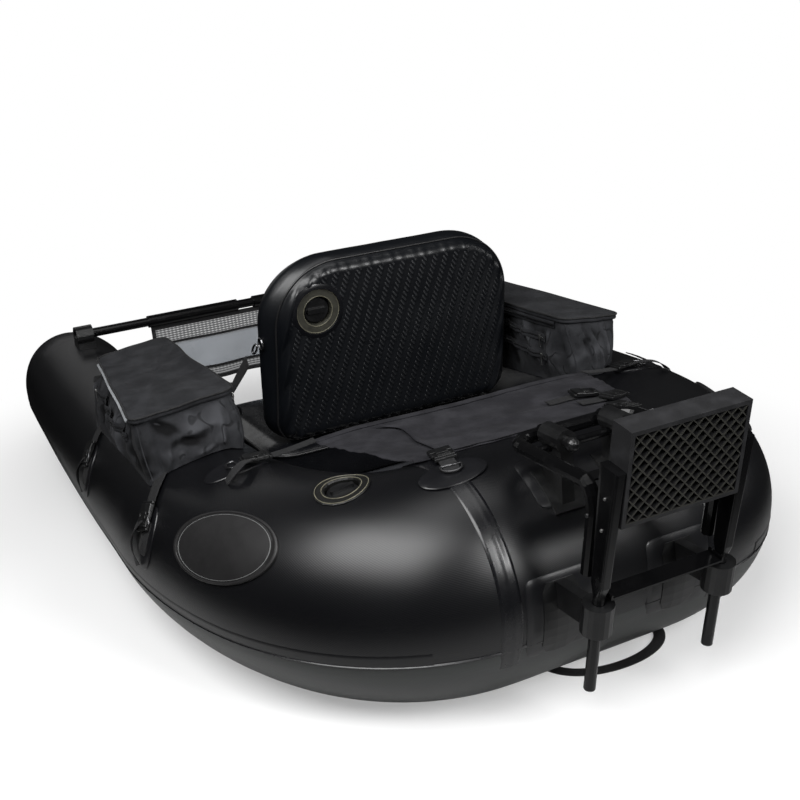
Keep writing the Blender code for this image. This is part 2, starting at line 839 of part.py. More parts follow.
def make_bag(side, sign, envelope):
    rings = [bag_outline(side, sign, 0, -bag_sag)]
    rings.append(bag_outline(side, sign, bag_levels[0], bag_sag * 0.25))
    rings.append(bag_outline(side, sign, bag_levels[1], -bag_sag * 0.25))
    rings.append(bag_outline(side, sign, 1, 0))
    rings.append(bag_outline(side, sign, 1, -bag_wall))
    floor_share = cavity_share(side)
    rings.append(bag_outline(side, sign, floor_share, -bag_wall - bag_sag, bag_cavity_z))
    tub = loft("bag_" + side, rings, nylon_black())
    combine(tub, envelope, "DIFFERENCE")
    rim = bag_outline(side, sign, 1, 0)
    hinge = (rim[bag_corner_points] + rim[bag_corner_points + 1]) / 2 + Vector((0, 0, lid_gap))
    low = raised(bag_outline(side, sign, 1, lid_overhang), lid_gap)
    lid_rings = [raised(bag_outline(side, sign, 1, -bag_wall), lid_gap), low, raised(low, lid_thickness * 0.7),
                 raised(bag_outline(side, sign, 1, -lid_overhang), lid_gap + lid_thickness),
                 raised(bag_outline(side, sign, 1, -bag_corner), lid_gap + lid_thickness + lid_crown)]
    loft("bag_lid_" + side, lid_rings, nylon_black(), pivot=hinge)
    make_pull(side, sign)


def cavity_share(side):
    foot, top = bag_foot_corners[side][0][2], bag_top_corners[side][0][2]
    return (bag_cavity_z - foot) / (top - foot)


# The pull hangs on the inner wall, near the rear corner
def make_pull(side, sign):
    foot_outline = bag_outline(side, sign, bag_levels[1], -bag_sag * 0.25)
    rim = bag_outline(side, sign, 1, 0)
    first = 3 * (bag_corner_points + 1)
    rear, front = rim[first], rim[first - 1]
    low_rear, low_front = foot_outline[first], foot_outline[first - 1]
    way = (front - rear).normalized()
    at_rim = rear + way * pull_rest
    at_low = low_rear + (low_front - low_rear).normalized() * pull_rest
    hang = (at_low - at_rim).normalized()
    outward = way.cross(hang).normalized()
    if outward.x * sign > 0:
        outward = -outward
    top = at_rim + hang * pull_drop + outward * touch_gap
    rings = []
    for reach in (0, pull_length):
        ring = []
        for x, y in ((-0.5, 0), (0.5, 0), (0.5, 1), (-0.5, 1)):
            ring.append(top + hang * reach + way * (x * pull_width) + outward * (y * pull_thickness))
        rings.append(ring)
    return loft("zip_pull_" + side, rings, steel(), pivot=top)


# Half the width of an oval patch at a distance from its middle
def oval(distance, half_along, half_across):
    share = distance / half_along
    return half_across * math.sqrt(1 - share * share) if abs(share) < 1 else 0


# Webbing that lies on the skin, with an oval patch under it: rows are point, patch half width, and buckle
def skin_strap(name, rows, lift):
    rings = []
    points = [row[0] for row in rows]
    for k, (point, patch, buckle) in enumerate(rows):
        way = (points[min(k + 1, len(points) - 1)] - points[max(k - 1, 0)]).normalized()
        normal = snap_to_hull(point)[1]
        wide = way.cross(normal).normalized()
        half = (buckle_width if buckle else web_width) / 2
        thickness = buckle_thickness if buckle else web_thickness
        rim = max(patch, half + web_hem)
        ledge = (rim + half) / 2
        thin = patch_thickness
        shape = ((-rim, 0), (-rim / 2, 0), (0, 0), (rim / 2, 0), (rim, 0), (rim, thin), (ledge, thin),
                 (half, thin), (half, thickness), (-half, thickness), (-half, thin), (-ledge, thin), (-rim, thin))
        rings.append([snap_to_hull(point + wide * x, lift + y)[0] for x, y in shape])
    return loft(name, rings, webbing_black())


# Webbing with a straight run: rows are point, normal, and whether the buckle is there
def webbing(name, rows):
    rings = []
    points = [row[0] for row in rows]
    for k, (point, normal, buckle) in enumerate(rows):
        way = (points[min(k + 1, len(points) - 1)] - points[max(k - 1, 0)]).normalized()
        normal = (normal - way * normal.dot(way)).normalized()
        wide = way.cross(normal).normalized()
        half = (buckle_width if buckle else web_width) / 2
        thickness = buckle_thickness if buckle else web_thickness
        rings.append([point + wide * x + normal * y for x, y in
                      ((-half, 0), (half, 0), (half, thickness), (-half, thickness))])
    return loft(name, rings, webbing_black())


def make_bag_strap(side, sign, index, place):
    station = leg_station(bag_strap_ys[index])
    radius = hull_frame(station)[3]
    foot = bag_patch_angle + patch_half_length * 0.98 / radius
    count = round(radius * (foot - bag_strap_top_angle) / strap_step)
    rows = []
    for k in range(count + 1):
        u = k / count
        angle = bag_strap_top_angle + (foot - bag_strap_top_angle) * u
        point = on_hull(-sign * (station + bag_strap_slant * (1 - u) ** 2), angle)
        patch = oval((angle - bag_patch_angle) * radius, patch_half_length, patch_half_width)
        buckle = abs(angle - bag_strap_buckle_angle) * radius < buckle_length / 2
        rows.append((point, patch, buckle))
    return skin_strap("bag_strap_" + side + "_" + place, rows, hull_gap)


# The cover's front strap: taut webbing from a patch on the hull to the cover's corner
def make_corner_strap(side, sign):
    station = -sign * corner_patch_station
    skin, skin_normal = snap_to_hull(on_hull(station, corner_patch_angle))
    along = (Vector((sign, 0, 0)) - skin_normal * skin_normal.x * sign).normalized()
    top = patch_thickness
    profile = [(0.2, 0), (0.6, 0), (1.0, 0), (1.0, top), (0.6, top), (0.2, top)]
    hull_disc("cover_patch_" + side, skin, skin_normal, along, patch_half_length, patch_half_width,
              profile, patch_points, webbing_black())
    start = skin + skin_normal * (hull_gap + patch_thickness + corner_strap_lift)
    corner = Vector((sign * cover_corner_x, cover_corner_y, cover_corner_z))
    way = corner - start
    length = way.length - corner_strap_stop
    way.normalize()
    middle = strap_step + buckle_length / 2
    rows = []
    for distance in (0, middle - buckle_length / 2, middle, middle + buckle_length / 2,
                     middle + buckle_length, length * 0.7, length):
        rows.append((start + way * distance, skin_normal, abs(distance - middle) < buckle_length * 0.6))
    return webbing("cover_strap_" + side, rows)


def make_stern_strap(side, sign):
    start = Vector((sign * stern_strap_x, stern_strap_y, 2 * stern_radius))
    middle = Vector((sign * stern_patch_x, stern_patch_y, 2 * stern_radius))
    way = (middle - start).normalized()
    length = (middle - start).length + patch_half_width * 0.98
    count = round(length / strap_step)
    rows = []
    for k in range(count + 1):
        distance = length * k / count
        patch = oval(distance - (middle - start).length, patch_half_width, patch_half_length)
        buckle = abs(distance - stern_buckle_at) < buckle_length / 2
        rows.append((snap_to_hull(start + way * distance)[0], patch, buckle))
    return skin_strap("stern_strap_" + side, rows, over_tape)


# Cover: it lies on the stern's crown and is stretched flat over the cargo space
def make_cover():
    bm = bmesh.new()
    layers = []
    for lift in (0, cover_thickness):
        grid = []
        for i in range(cover_rows + 1):
            v = i / cover_rows
            half = cover_rear_half_width + (cover_corner_x - cover_rear_half_width) * v ** cover_side_share
            row = []
            for k in range(cover_columns + 1):
                u = 2 * k / cover_columns - 1
                x = half * u
                front_y = cover_front_y + (cover_corner_y - cover_front_y) * u * u
                y = cover_rear_y + (front_y - cover_rear_y) * v
                crown = stern_radius + math.sqrt(stern_radius ** 2 - cover_rear_y ** 2)
                z = crown + (cover_front_z - crown) * v - cover_sag * math.sin(math.pi * v) * (1 - u * u)
                z += (cover_corner_z - cover_front_z) * v * u ** 4
                under = Vector((x, y, z))
                near_tape = abs(x) > tape_x - tape_width
                skin, normal = snap_to_hull(under, over_tape if near_tape else 0)
                clear = (under - skin).dot(normal)
                if clear < 0:
                    under = skin
                row.append(bm.verts.new(under + Vector((0, 0, lift))))
            grid.append(row)
        layers.append(grid)
    low, high = layers
    for i in range(cover_rows):
        for k in range(cover_columns):
            bm.faces.new((low[i][k], low[i + 1][k], low[i + 1][k + 1], low[i][k + 1]))
            bm.faces.new((high[i][k], high[i][k + 1], high[i + 1][k + 1], high[i + 1][k]))
    rim_low, rim_high = grid_rim(low), grid_rim(high)
    for k in range(len(rim_low)):
        n = (k + 1) % len(rim_low)
        bm.faces.new((rim_low[k], rim_low[n], rim_high[n], rim_high[k]))
    return add_mesh("stern_cover", bm, nylon_black())


def grid_rim(grid):
    return (grid[0] + [row[-1] for row in grid[1:-1]] + grid[-1][::-1]
            + [row[0] for row in grid[-2:0:-1]])


# Crossbar: sockets on the legs, thin tubes that slide into thick ones, and the hanging apron
def make_crossbar(envelope):
    for side, sign in sides.items():
        collar = pipe("bar_socket_" + side, (sign * socket_inner_x, bar_y, bar_z), (sign * socket_outer_x, bar_y, bar_z),
                      socket_radius, bar_bore_radius, bar_segments, plastic_black())
        foot_top = bar_z - bar_bore_radius - touch_gap
        foot = box("bar_socket_foot_" + side,
                   (min(sign * socket_inner_x, sign * socket_outer_x) + touch_gap, bar_y - socket_foot_width / 2,
                    bar_z - 2 * socket_radius),
                   (max(sign * socket_inner_x, sign * socket_outer_x) - touch_gap, bar_y + socket_foot_width / 2,
                    bar_z - socket_radius * 0.75), plastic_black())
        combine(collar, as_tool(foot), "UNION")
        combine(collar, envelope, "DIFFERENCE")
        bore = rod("bar_socket_bore_" + side, (sign * (socket_inner_x - overrun), bar_y, bar_z),
                   (sign * (socket_outer_x + overrun), bar_y, bar_z), bar_bore_radius, bar_segments, plastic_black())
        combine(collar, as_tool(bore), "DIFFERENCE")
        inner_end = sleeve_outer_x - bar_end_overlap
        rod("bar_end_" + side, (sign * inner_end, bar_y, bar_z), (sign * bar_end_x, bar_y, bar_z),
            bar_radius, bar_segments, tube_black(), pivot=(sign * inner_end, bar_y, bar_z))
        pipe("bar_sleeve_" + side, (sign * sleeve_inner_x, bar_y, bar_z), (sign * sleeve_outer_x, bar_y, bar_z),
             bar_outer_radius, bar_bore_radius, bar_segments, tube_black())
    centre_half = sleeve_inner_x + centre_tube_overlap
    rod("bar_centre", (-centre_half, bar_y, bar_z), (centre_half, bar_y, bar_z), bar_radius,
        bar_segments, tube_black())


def make_apron():
    bm = bmesh.new()
    top = bar_z - bar_outer_radius - touch_gap
    layers = []
    for shift in (-apron_thickness / 2, apron_thickness / 2):
        grid = []
        for i in range(apron_rows + 1):
            v = i / apron_rows
            row = []
            for k in range(apron_columns + 1):
                u = 2 * k / apron_columns - 1
                fold = apron_fold * v * math.cos(math.pi * apron_fold_count * u)
                row.append(bm.verts.new((apron_half_width * u, bar_y + shift + fold,
                                         top + (apron_bottom_z - top) * v)))
            grid.append(row)
        layers.append(grid)
    low, high = layers
    for i in range(apron_rows):
        for k in range(apron_columns):
            bm.faces.new((low[i][k], low[i + 1][k], low[i + 1][k + 1], low[i][k + 1]))
            bm.faces.new((high[i][k], high[i][k + 1], high[i + 1][k + 1], high[i + 1][k]))
    rim_low, rim_high = grid_rim(low), grid_rim(high)
    for k in range(len(rim_low)):
        n = (k + 1) % len(rim_low)
        bm.faces.new((rim_low[k], rim_low[n], rim_high[n], rim_high[k]))
    return add_mesh("apron", bm, mesh_grey())


# Motor mount axes: down the raked posts, towards the bow, and the line through the board's middle
def mount_axes():
    down = Vector((0, math.sin(mount_rake), -math.cos(mount_rake)))
    bow = Vector((0, math.cos(mount_rake), math.sin(mount_rake)))
    top = Vector((0, board_back_y, board_top_z)) + bow * (board_depth / 2)
    return down, bow, top


# Board: a slab whose stern face is a diamond lattice of bars over pockets
def make_board():
    down, bow, top = mount_axes()
    bm = bmesh.new()
    half_x = board_half_width - board_rim
    height = board_height - 2 * board_rim
    across_count, down_count = 2 * lattice_columns, 2 * lattice_rows
    nodes = {}
    for i in range(across_count + 1):
        for j in range(down_count + 1):
            if (i + j) % 2 == 0:
                x = half_x * (2 * i / across_count - 1)
                drop = board_rim + height * j / down_count
                nodes[i, j] = bm.verts.new(Vector((x, 0, 0)) + top + down * drop - bow * (board_depth / 2))
    cells = []
    for i in range(across_count + 1):
        for j in range(down_count + 1):
            if (i + j) % 2 == 1:
                ring = [nodes.get(key) for key in ((i - 1, j), (i, j - 1), (i + 1, j), (i, j + 1))]
                cells.append(bm.faces.new([v for v in ring if v is not None]))
    bm.normal_update()
    for cell in cells:
        if cell.normal.dot(bow) > 0:
            cell.normal_flip()
    bmesh.ops.inset_individual(bm, faces=cells, thickness=lattice_bar / 2)
    floors = bmesh.ops.extrude_discrete_faces(bm, faces=cells)["faces"]
    shift_faces(bm, floors, bow * lattice_depth)
    border = [edge for edge in bm.edges if edge.is_boundary]
    grown = bmesh.ops.extrude_edge_only(bm, edges=border)["geom"]
    middle = top + down * (board_height / 2) - bow * (board_depth / 2)
    for vert in [g for g in grown if isinstance(g, bmesh.types.BMVert)]:
        offset = vert.co - middle
        x, drop = offset.x, offset.dot(down)
        if abs(abs(x) - half_x) < touch_gap:
            x = math.copysign(board_half_width, x)
        if abs(abs(drop) - height / 2) < touch_gap:
            drop = math.copysign(board_height / 2, drop)
        vert.co = middle + Vector((x, 0, 0)) + down * drop
    border = [edge for edge in bm.edges if edge.is_boundary]
    grown = bmesh.ops.extrude_edge_only(bm, edges=border)["geom"]
    bmesh.ops.translate(bm, verts=[g for g in grown if isinstance(g, bmesh.types.BMVert)], vec=bow * board_depth)
    bmesh.ops.holes_fill(bm, edges=[edge for edge in bm.edges if edge.is_boundary])
    return add_mesh("motor_board", bm, plastic_black())


def shift_faces(bm, faces, vector):
    verts = {vert for face in faces for vert in face.verts}
    bmesh.ops.translate(bm, verts=list(verts), vec=vector)


# Post section: a rounded bar for the cheek that turns into the round tube below
def post_section(centre, across, bow, half_width, half_depth, squareness):
    ring = []
    for k in range(post_segments):
        angle = 2 * math.pi * (k + 0.5) / post_segments
        c, s = math.cos(angle), math.sin(angle)
        power = 2 / squareness
        x = math.copysign(abs(c) ** power, c) * half_width
        y = math.copysign(abs(s) ** power, s) * half_depth
        ring.append(centre + across * x + bow * y)
    return ring


def make_post(side, sign):
    down, bow, top = mount_axes()
    across = Vector((1, 0, 0))
    line = top + across * sign * post_x
    half_width = post_width / 2 - touch_gap
    rings = []
    for drop, half_depth, squareness in ((post_top_drop, post_top_depth / 2, 8),
                                         (post_cheek_end - overrun, post_foot_depth / 2, 8)):
        rings.append(post_section(line + down * drop, across, bow, half_width, half_depth, squareness))
    for drop in (post_cheek_end, post_end):
        rings.append(post_section(line + down * drop, across, bow, post_tube_radius, post_tube_radius, 2))
    return loft("mount_post_" + side, rings, tube_black())


def make_brackets(envelope):
    down, bow, top = mount_axes()
    for side, sign in sides.items():
        x = sign * post_x
        centre = top + Vector((x, 0, 0)) + down * ring_drop
        ring = pipe("ring_bracket_" + side, centre - down * ring_height / 2, centre + down * ring_height / 2,
                    ring_outer_radius, post_tube_radius + ring_clearance, 18, plastic_black())
        rows = []
        steps = 8
        for k in range(steps + 1):
            angle = bracket_top_angle + (bracket_low_angle - bracket_top_angle) * k / steps
            normal = Vector((0, -math.sin(angle), math.cos(angle)))
            base = Vector((x, 0, stern_radius)) + normal * (stern_radius + hull_gap)
            rim = bracket_half_width - (bracket_half_width * 0.25 if k in (0, steps) else 0)
            ridge = bracket_ridge_width / 2
            shape = ((-rim, 0), (rim, 0), (rim, bracket_thickness / 2), (ridge, bracket_thickness),
                     (-ridge, bracket_thickness), (-rim, bracket_thickness / 2))
            rows.append([base + Vector((u, 0, 0)) + normal * v for u, v in shape])
        pad = loft("ring_bracket_pad_" + side, rows, plastic_black())
        neck_mid = centre.z
        pad_middle = stern_radius + hull_gap + bracket_thickness / 2
        neck_reach = math.sqrt(pad_middle ** 2 - (neck_mid + neck_height / 2 - stern_radius) ** 2)
        neck = box("ring_bracket_neck_" + side,
                   (x - neck_width / 2, centre.y + post_tube_radius + 2 * ring_clearance, neck_mid - neck_height / 2),
                   (x + neck_width / 2, -neck_reach, neck_mid + neck_height / 2),
                   plastic_black())
        combine(ring, as_tool(neck), "UNION")
        combine(ring, as_tool(pad), "UNION")
        combine(ring, envelope, "DIFFERENCE")
        bore = rod("ring_bracket_bore_" + side, centre - down * ring_height, centre + down * ring_height,
                   post_tube_radius + ring_clearance, 18, plastic_black())
        combine(ring, as_tool(bore), "DIFFERENCE")


def sweep(name, path, radius, count, material):
    rings = []
    across = None
    for k, point in enumerate(path):
        way = (path[min(k + 1, len(path) - 1)] - path[max(k - 1, 0)]).normalized()
        if across is None:
            across = way.cross(Vector((1, 0, 0))).normalized()
        across = (across - way * across.dot(way)).normalized()
        up = way.cross(across).normalized()
        rings.append([point + across * x + up * y for x, y in circle(radius, count)])
    return loft(name, rings, material)


def arc_points(centre, first, second, radius, steps):
    points = []
    for k in range(steps + 1):
        angle = math.pi / 2 * k / steps
        points.append(centre + first * radius * math.cos(angle) + second * radius * math.sin(angle))
    return points


# Saddle frame: one bent tube, down the posts' bow faces and round the front, with pin stubs and a tie plate
def make_saddle_frame():
    down, bow, top = mount_axes()
    rail_offset = post_top_depth / 2 + rail_radius + 2 * touch_gap
    half = []
    low = top + down * rail_low_drop + bow * rail_offset
    bend_start = top + down * ((top.z - rail_z) / math.cos(mount_rake) + rail_bend) + bow * rail_offset
    half.append(Vector((0, low.y, low.z)))
    bend_centre = bend_start + bow * rail_bend
    for k in range(7):
        angle = (math.pi / 2) * k / 6
        point = bend_centre - bow * rail_bend * math.cos(angle) - down * rail_bend * math.sin(angle)
        half.append(Vector((0, point.y, point.z)))
    half = [Vector((rail_x, p.y, min(p.z, rail_z))) for p in half]
    run_end = Vector((rail_x, rail_front_y - rail_corner, rail_z))
    half.append(run_end)
    corner = Vector((rail_x - rail_corner, rail_front_y - rail_corner, rail_z))
    half += arc_points(corner, Vector((1, 0, 0)), Vector((0, 1, 0)), rail_corner, 6)[1:]
    path = half + [Vector((-p.x, p.y, p.z)) for p in reversed(half)]
    frame = sweep("saddle_frame", path, rail_radius, rail_sides, tube_black())
    for side, sign in sides.items():
        stub = rod("pin_stub_" + side, (sign * boss_x, rail_front_y, boss_z),
                   (sign * boss_x, boss_front_y + touch_gap * 2, boss_z), stub_radius, 12, tube_black())
        combine(frame, as_tool(stub), "UNION")
        hole = rod("pin_stub_hole_" + side, (sign * boss_x, boss_back_y, boss_z),
                   (sign * boss_x, pin_tip_y + 2 * pin_clearance, boss_z), pin_radius + pin_clearance, 12, tube_black())
        combine(frame, as_tool(hole), "DIFFERENCE")
    tie_y = bend_centre.y - rail_bend * upper_tie_share
    plate = box("upper_tie_plate", (-rail_x, tie_y - upper_tie_depth / 2, rail_z - rail_radius * 0.6),
                (rail_x, tie_y + upper_tie_depth / 2, rail_z - rail_radius * 0.6 + tie_thickness), tube_black())
    combine(frame, as_tool(plate), "UNION")
    return frame


def make_cross_rod():
    half = rail_x - rail_radius - touch_gap
    return rod("cross_rod", (-half, rod_y, rod_z), (half, rod_y, rod_z), rod_radius, 12, tube_black())


def make_bosses(envelope):
    for side, sign in sides.items():
        x = sign * boss_x
        barrel = rod("mount_boss_" + side, (x, boss_back_y, boss_z), (x, boss_front_y, boss_z), boss_radius,
                     boss_segments, plastic_black())
        skin_z = stern_radius + math.sqrt(stern_radius ** 2 - boss_back_y ** 2)
        web = box("mount_boss_web_" + side, (x - boss_web_width / 2, boss_back_y + touch_gap, skin_z - overrun),
                  (x + boss_web_width / 2, boss_front_y - touch_gap, boss_z), plastic_black())
        combine(barrel, as_tool(web), "UNION")
        rows = []
        steps = 6
        middle_angle = math.asin((boss_front_y + boss_back_y) / 2 / stern_radius)
        reach = boss_base_half_length / stern_radius
        for k in range(steps + 1):
            angle = middle_angle + reach * (2 * k / steps - 1)
            normal = Vector((0, math.sin(angle), math.cos(angle)))
            base = Vector((x, 0, stern_radius)) + normal * (stern_radius + hull_gap)
            half = boss_base_half_width
            rows.append([base + Vector((u, 0, 0)) + normal * v for u, v in
                         ((-half, 0), (half, 0), (half, boss_base_thickness), (-half, boss_base_thickness))])
        base_plate = loft("mount_boss_base_" + side, rows, plastic_black())
        combine(barrel, as_tool(base_plate), "UNION")
        combine(barrel, envelope, "DIFFERENCE")
        bore = rod("mount_boss_bore_" + side, (x, boss_back_y - overrun, boss_z), (x, boss_front_y + overrun, boss_z),
                   pin_radius + pin_clearance, 12, plastic_black())
        combine(barrel, as_tool(bore), "DIFFERENCE")
        slot = rod("mount_boss_rod_hole_" + side, (x - overrun, rod_y, rod_z), (x + overrun, rod_y, rod_z),
                   rod_radius + pin_clearance, 12, plastic_black())
        combine(barrel, as_tool(slot), "DIFFERENCE")


def make_pins():
    for side, sign in sides.items():
        collar_front = -(boss_back_y - touch_gap)
        tip = -pin_tip_y
        profile = [(pin_radius * 0.6, tip), (pin_radius, tip + pin_radius / 2), (pin_radius, collar_front),
                   (pin_collar_radius, collar_front), (pin_collar_radius, collar_front + pin_collar_length)]
        ball_centre = collar_front + pin_collar_length + pin_ball_radius * 0.8
        for k in range(1, 7):
            angle = math.pi * (0.3 + 0.7 * k / 7)
            profile.append((pin_ball_radius * math.sin(angle), ball_centre - pin_ball_radius * math.cos(angle)))
        turned("mount_pin_" + side, profile, (sign * boss_x, 0, boss_z), (0, -1, 0), 12, plastic_black(),
               pivot=(sign * boss_x, boss_back_y, boss_z))


def make_tie_strip():
    down, bow, top = mount_axes()
    centre = top + down * (ring_drop - ring_height / 2 - tie_above_ring)
    half = post_x - post_tube_radius - 2 * touch_gap
    outline = ((-half, tie_lip), (-half, 0), (half, 0), (half, tie_lip), (half - tie_thickness, tie_lip),
               (half - tie_thickness, tie_thickness), (-half + tie_thickness, tie_thickness),
               (-half + tie_thickness, tie_lip))
    rings = []
    for shift in (-tie_depth / 2, tie_depth / 2):
        rings.append([centre + Vector((x, 0, 0)) - down * z + bow * shift for x, z in outline])
    return loft("tie_strip", rings, tube_black())


def make_carry_handle():
    rings = []
    for k in range(handle_steps + 1):
        turn = math.pi * k / handle_steps
        x = handle_centre_x - handle_half_span * math.cos(turn)
        y = handle_root_y + (handle_reach_y - handle_root_y) * math.sin(turn) ** 0.8
        way = Vector((handle_half_span * math.sin(turn),
                      (handle_reach_y - handle_root_y) * math.cos(turn), 0)).normalized()
        across = Vector((-way.y, way.x, 0)) * (handle_width / 2)
        point = Vector((x, y, touch_gap))
        if k in (0, handle_steps):
            across = Vector((math.copysign(handle_width / 2, across.x), 0, 0))
        high = Vector((0, 0, handle_thickness))
        rings.append([point - across, point + across, point + across + high, point - across + high])
    return loft("carry_handle", rings, webbing_black())


clear_scene()
root = bpy.data.objects.new("float_tube", None)
bpy.context.scene.collection.objects.link(root)
root.location = (0, -middle_y, 0)
hull_line = hull_centre_line()
hull_stations = line_stations(hull_line)
port_half = len(hull_line) // 2
port_leg_y = hull_line[port_half + stern_rings:, 1]
port_leg_station = hull_stations[port_half + stern_rings:]

hull_tube = make_hull()
hull_envelope = make_hull_envelope()
make_hull_valves(hull_tube)
make_seat_floor()
make_seat()
make_backrest()
make_hinge_flap()
for side_name, side_sign in sides.items():
    make_seam_tape(side_name, side_sign)
    make_badge(side_name, side_sign)
    make_bag(side_name, side_sign, hull_envelope)
    for strap_index, strap_place in enumerate(("rear", "front")):
        make_bag_strap(side_name, side_sign, strap_index, strap_place)
    make_corner_strap(side_name, side_sign)
    make_stern_strap(side_name, side_sign)
    make_post(side_name, side_sign)
make_cover()
make_crossbar(hull_envelope)
make_apron()
make_board()
make_brackets(hull_envelope)
make_saddle_frame()
make_cross_rod()
make_bosses(hull_envelope)
make_pins()
make_tie_strip()
make_carry_handle()
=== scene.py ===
# Float tube with saddle bags, stern cover, crossbar and motor mount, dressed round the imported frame.
# Lengths are metres. Shapes are worked out with y = 0 on the stern tube's centre line, then moved by originY.
import math
import random

import bmesh
import bpy
import numpy as np
from mathutils import Matrix, Vector, noise


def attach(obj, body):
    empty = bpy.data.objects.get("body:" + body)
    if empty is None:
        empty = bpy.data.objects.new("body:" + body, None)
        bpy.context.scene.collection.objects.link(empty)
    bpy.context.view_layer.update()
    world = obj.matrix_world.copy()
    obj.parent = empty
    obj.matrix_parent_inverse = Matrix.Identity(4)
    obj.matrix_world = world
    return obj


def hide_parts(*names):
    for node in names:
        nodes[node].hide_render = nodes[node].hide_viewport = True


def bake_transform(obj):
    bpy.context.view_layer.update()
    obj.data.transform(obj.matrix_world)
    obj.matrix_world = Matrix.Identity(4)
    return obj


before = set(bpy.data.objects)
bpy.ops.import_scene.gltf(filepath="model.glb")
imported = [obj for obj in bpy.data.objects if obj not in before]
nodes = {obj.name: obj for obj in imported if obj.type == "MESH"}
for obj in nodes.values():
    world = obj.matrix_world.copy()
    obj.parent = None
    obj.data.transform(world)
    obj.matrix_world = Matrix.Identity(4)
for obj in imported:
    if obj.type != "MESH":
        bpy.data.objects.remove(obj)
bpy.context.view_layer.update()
originY = 0.6438
sides = {"port": -1, "starboard": 1}
upZ, alongX = Vector((0, 0, 1)), Vector((1, 0, 0))
print("frame loaded")


# Shader maths: a wire is one socket that takes part in sums
class Wire:
    def __init__(self, paint, socket):
        self.paint = paint
        self.socket = socket

    def op(self, operation, *others):
        sockets = dict(enumerate((self, *others)))
        return self.paint.node("ShaderNodeMath", {"operation": operation}, sockets)["Value"]

    def __add__(self, other):
        return self.op("ADD", other)

    def __sub__(self, other):
        return self.op("SUBTRACT", other)

    def __rsub__(self, other):
        return self.op("MULTIPLY", -1) + other

    def __mul__(self, other):
        return self.op("MULTIPLY", other)

    def wave(self, pitch):
        return (self * (2 * math.pi / pitch)).op("SINE")

    def step(self, low, high):
        sockets = {"Value": self, "From Min": low, "From Max": high}
        return self.paint.node("ShaderNodeMapRange", {"interpolation_type": "SMOOTHSTEP"}, sockets)["Result"]


def findSocket(sockets, key):
    if isinstance(key, int):
        return sockets[key]
    for socket in sockets:
        if socket.identifier == key:
            return socket
    return sockets[key]


class Outputs:
    def __init__(self, paint, made):
        self.paint = paint
        self.made = made

    def __getitem__(self, key):
        return Wire(self.paint, findSocket(self.made.outputs, key))


# A material: its fixed values go on the shader's own sockets, and wires to what varies
class Paint:
    def __init__(self, name, colour, roughness, fixed=None):
        self.material = bpy.data.materials.new(name)
        self.material.use_nodes = True
        self.tree = self.material.node_tree
        self.shader = self.tree.nodes["Principled BSDF"]
        self.set("Base Color", (*colour, 1))
        self.set("Roughness", roughness)
        for key, value in (fixed or {}).items():
            self.set(key, value)

    def join(self, value, socket):
        if isinstance(value, Wire):
            self.tree.links.new(value.socket, socket)
        else:
            socket.default_value = value

    def set(self, key, value):
        self.join(value, self.shader.inputs[key])

    def node(self, kind, settings=None, sockets=None):
        made = self.tree.nodes.new(kind)
        for key, value in (settings or {}).items():
            setattr(made, key, value)
        for key, value in (sockets or {}).items():
            self.join(value, findSocket(made.inputs, key))
        return Outputs(self, made)

    def parts(self, vector):
        split = self.node("ShaderNodeSeparateXYZ", None, {"Vector": vector})
        return split["X"], split["Y"], split["Z"]

    def place(self):
        return self.node("ShaderNodeTexCoord")["Object"]

    def cloth(self):
        return self.parts(self.node("ShaderNodeUVMap", {"uv_map": "cloth"})["UV"])[:2]

    def panel(self):
        return self.node("ShaderNodeAttribute", {"attribute_name": "panel"})["Fac"]

    def speckle(self, size, detail=2.0, rough=0.5):
        sockets = {"Vector": self.place(), "Scale": 1 / size, "Detail": detail, "Roughness": rough}
        return self.node("ShaderNodeTexNoise", None, sockets)["Fac"]

    def blend(self, factor, first, second):
        first, second = (c if isinstance(c, Wire) else (*c, 1) for c in (first, second))
        sockets = {"Factor_Float": factor, "A_Color": first, "B_Color": second}
        return self.node("ShaderNodeMix", {"data_type": "RGBA"}, sockets)["Result_Color"]

    # The look that all the makers below end with
    def dress(self, base, roughness, height, depth):
        self.set("Base Color", base)
        self.set("Roughness", roughness)
        self.set("Normal", self.node("ShaderNodeBump", None, {"Height": height, "Distance": depth})["Normal"])
        return self.material


def shaded(colour, factor, added=0.0):
    return [c * factor + added for c in colour]


# Coated tube fabric: a fine thread grid pressed through the coating, with soft scuffs
def coatedFabric(name, colour, roughness, depth, tint=0.35, pitch=0.0036):
    paint = Paint(name, colour, roughness, {"Specular IOR Level": 0.5})
    u, v = paint.cloth()
    threads = u.wave(pitch) * v.wave(pitch)
    cloud, fine = paint.speckle(0.16, 2.0, 0.4), paint.speckle(0.006)
    base = paint.blend(cloud * tint, colour, shaded(colour, 1.6, 0.002))
    rough = cloud * 0.05 + fine * 0.03 + (roughness - 0.04)
    return paint.dress(base, rough, threads * 0.6 + fine * 0.25 + cloud * 0.8, depth)


# Glued strip: smoother and glossier than the fabric, faintly pressed by the threads below
def smoothStrip(name, colour, roughness, depth=0.0002):
    paint = Paint(name, colour, roughness, {"Specular IOR Level": 0.55})
    smear, wide = paint.speckle(0.02, 3.0, 0.55), paint.speckle(0.07)
    base = paint.blend(wide * 0.5, colour, shaded(colour, 1.9, 0.004))
    return paint.dress(base, smear * 0.16 + wide * 0.1 + (roughness - 0.1), smear * 0.6 + wide * 2.0, depth)


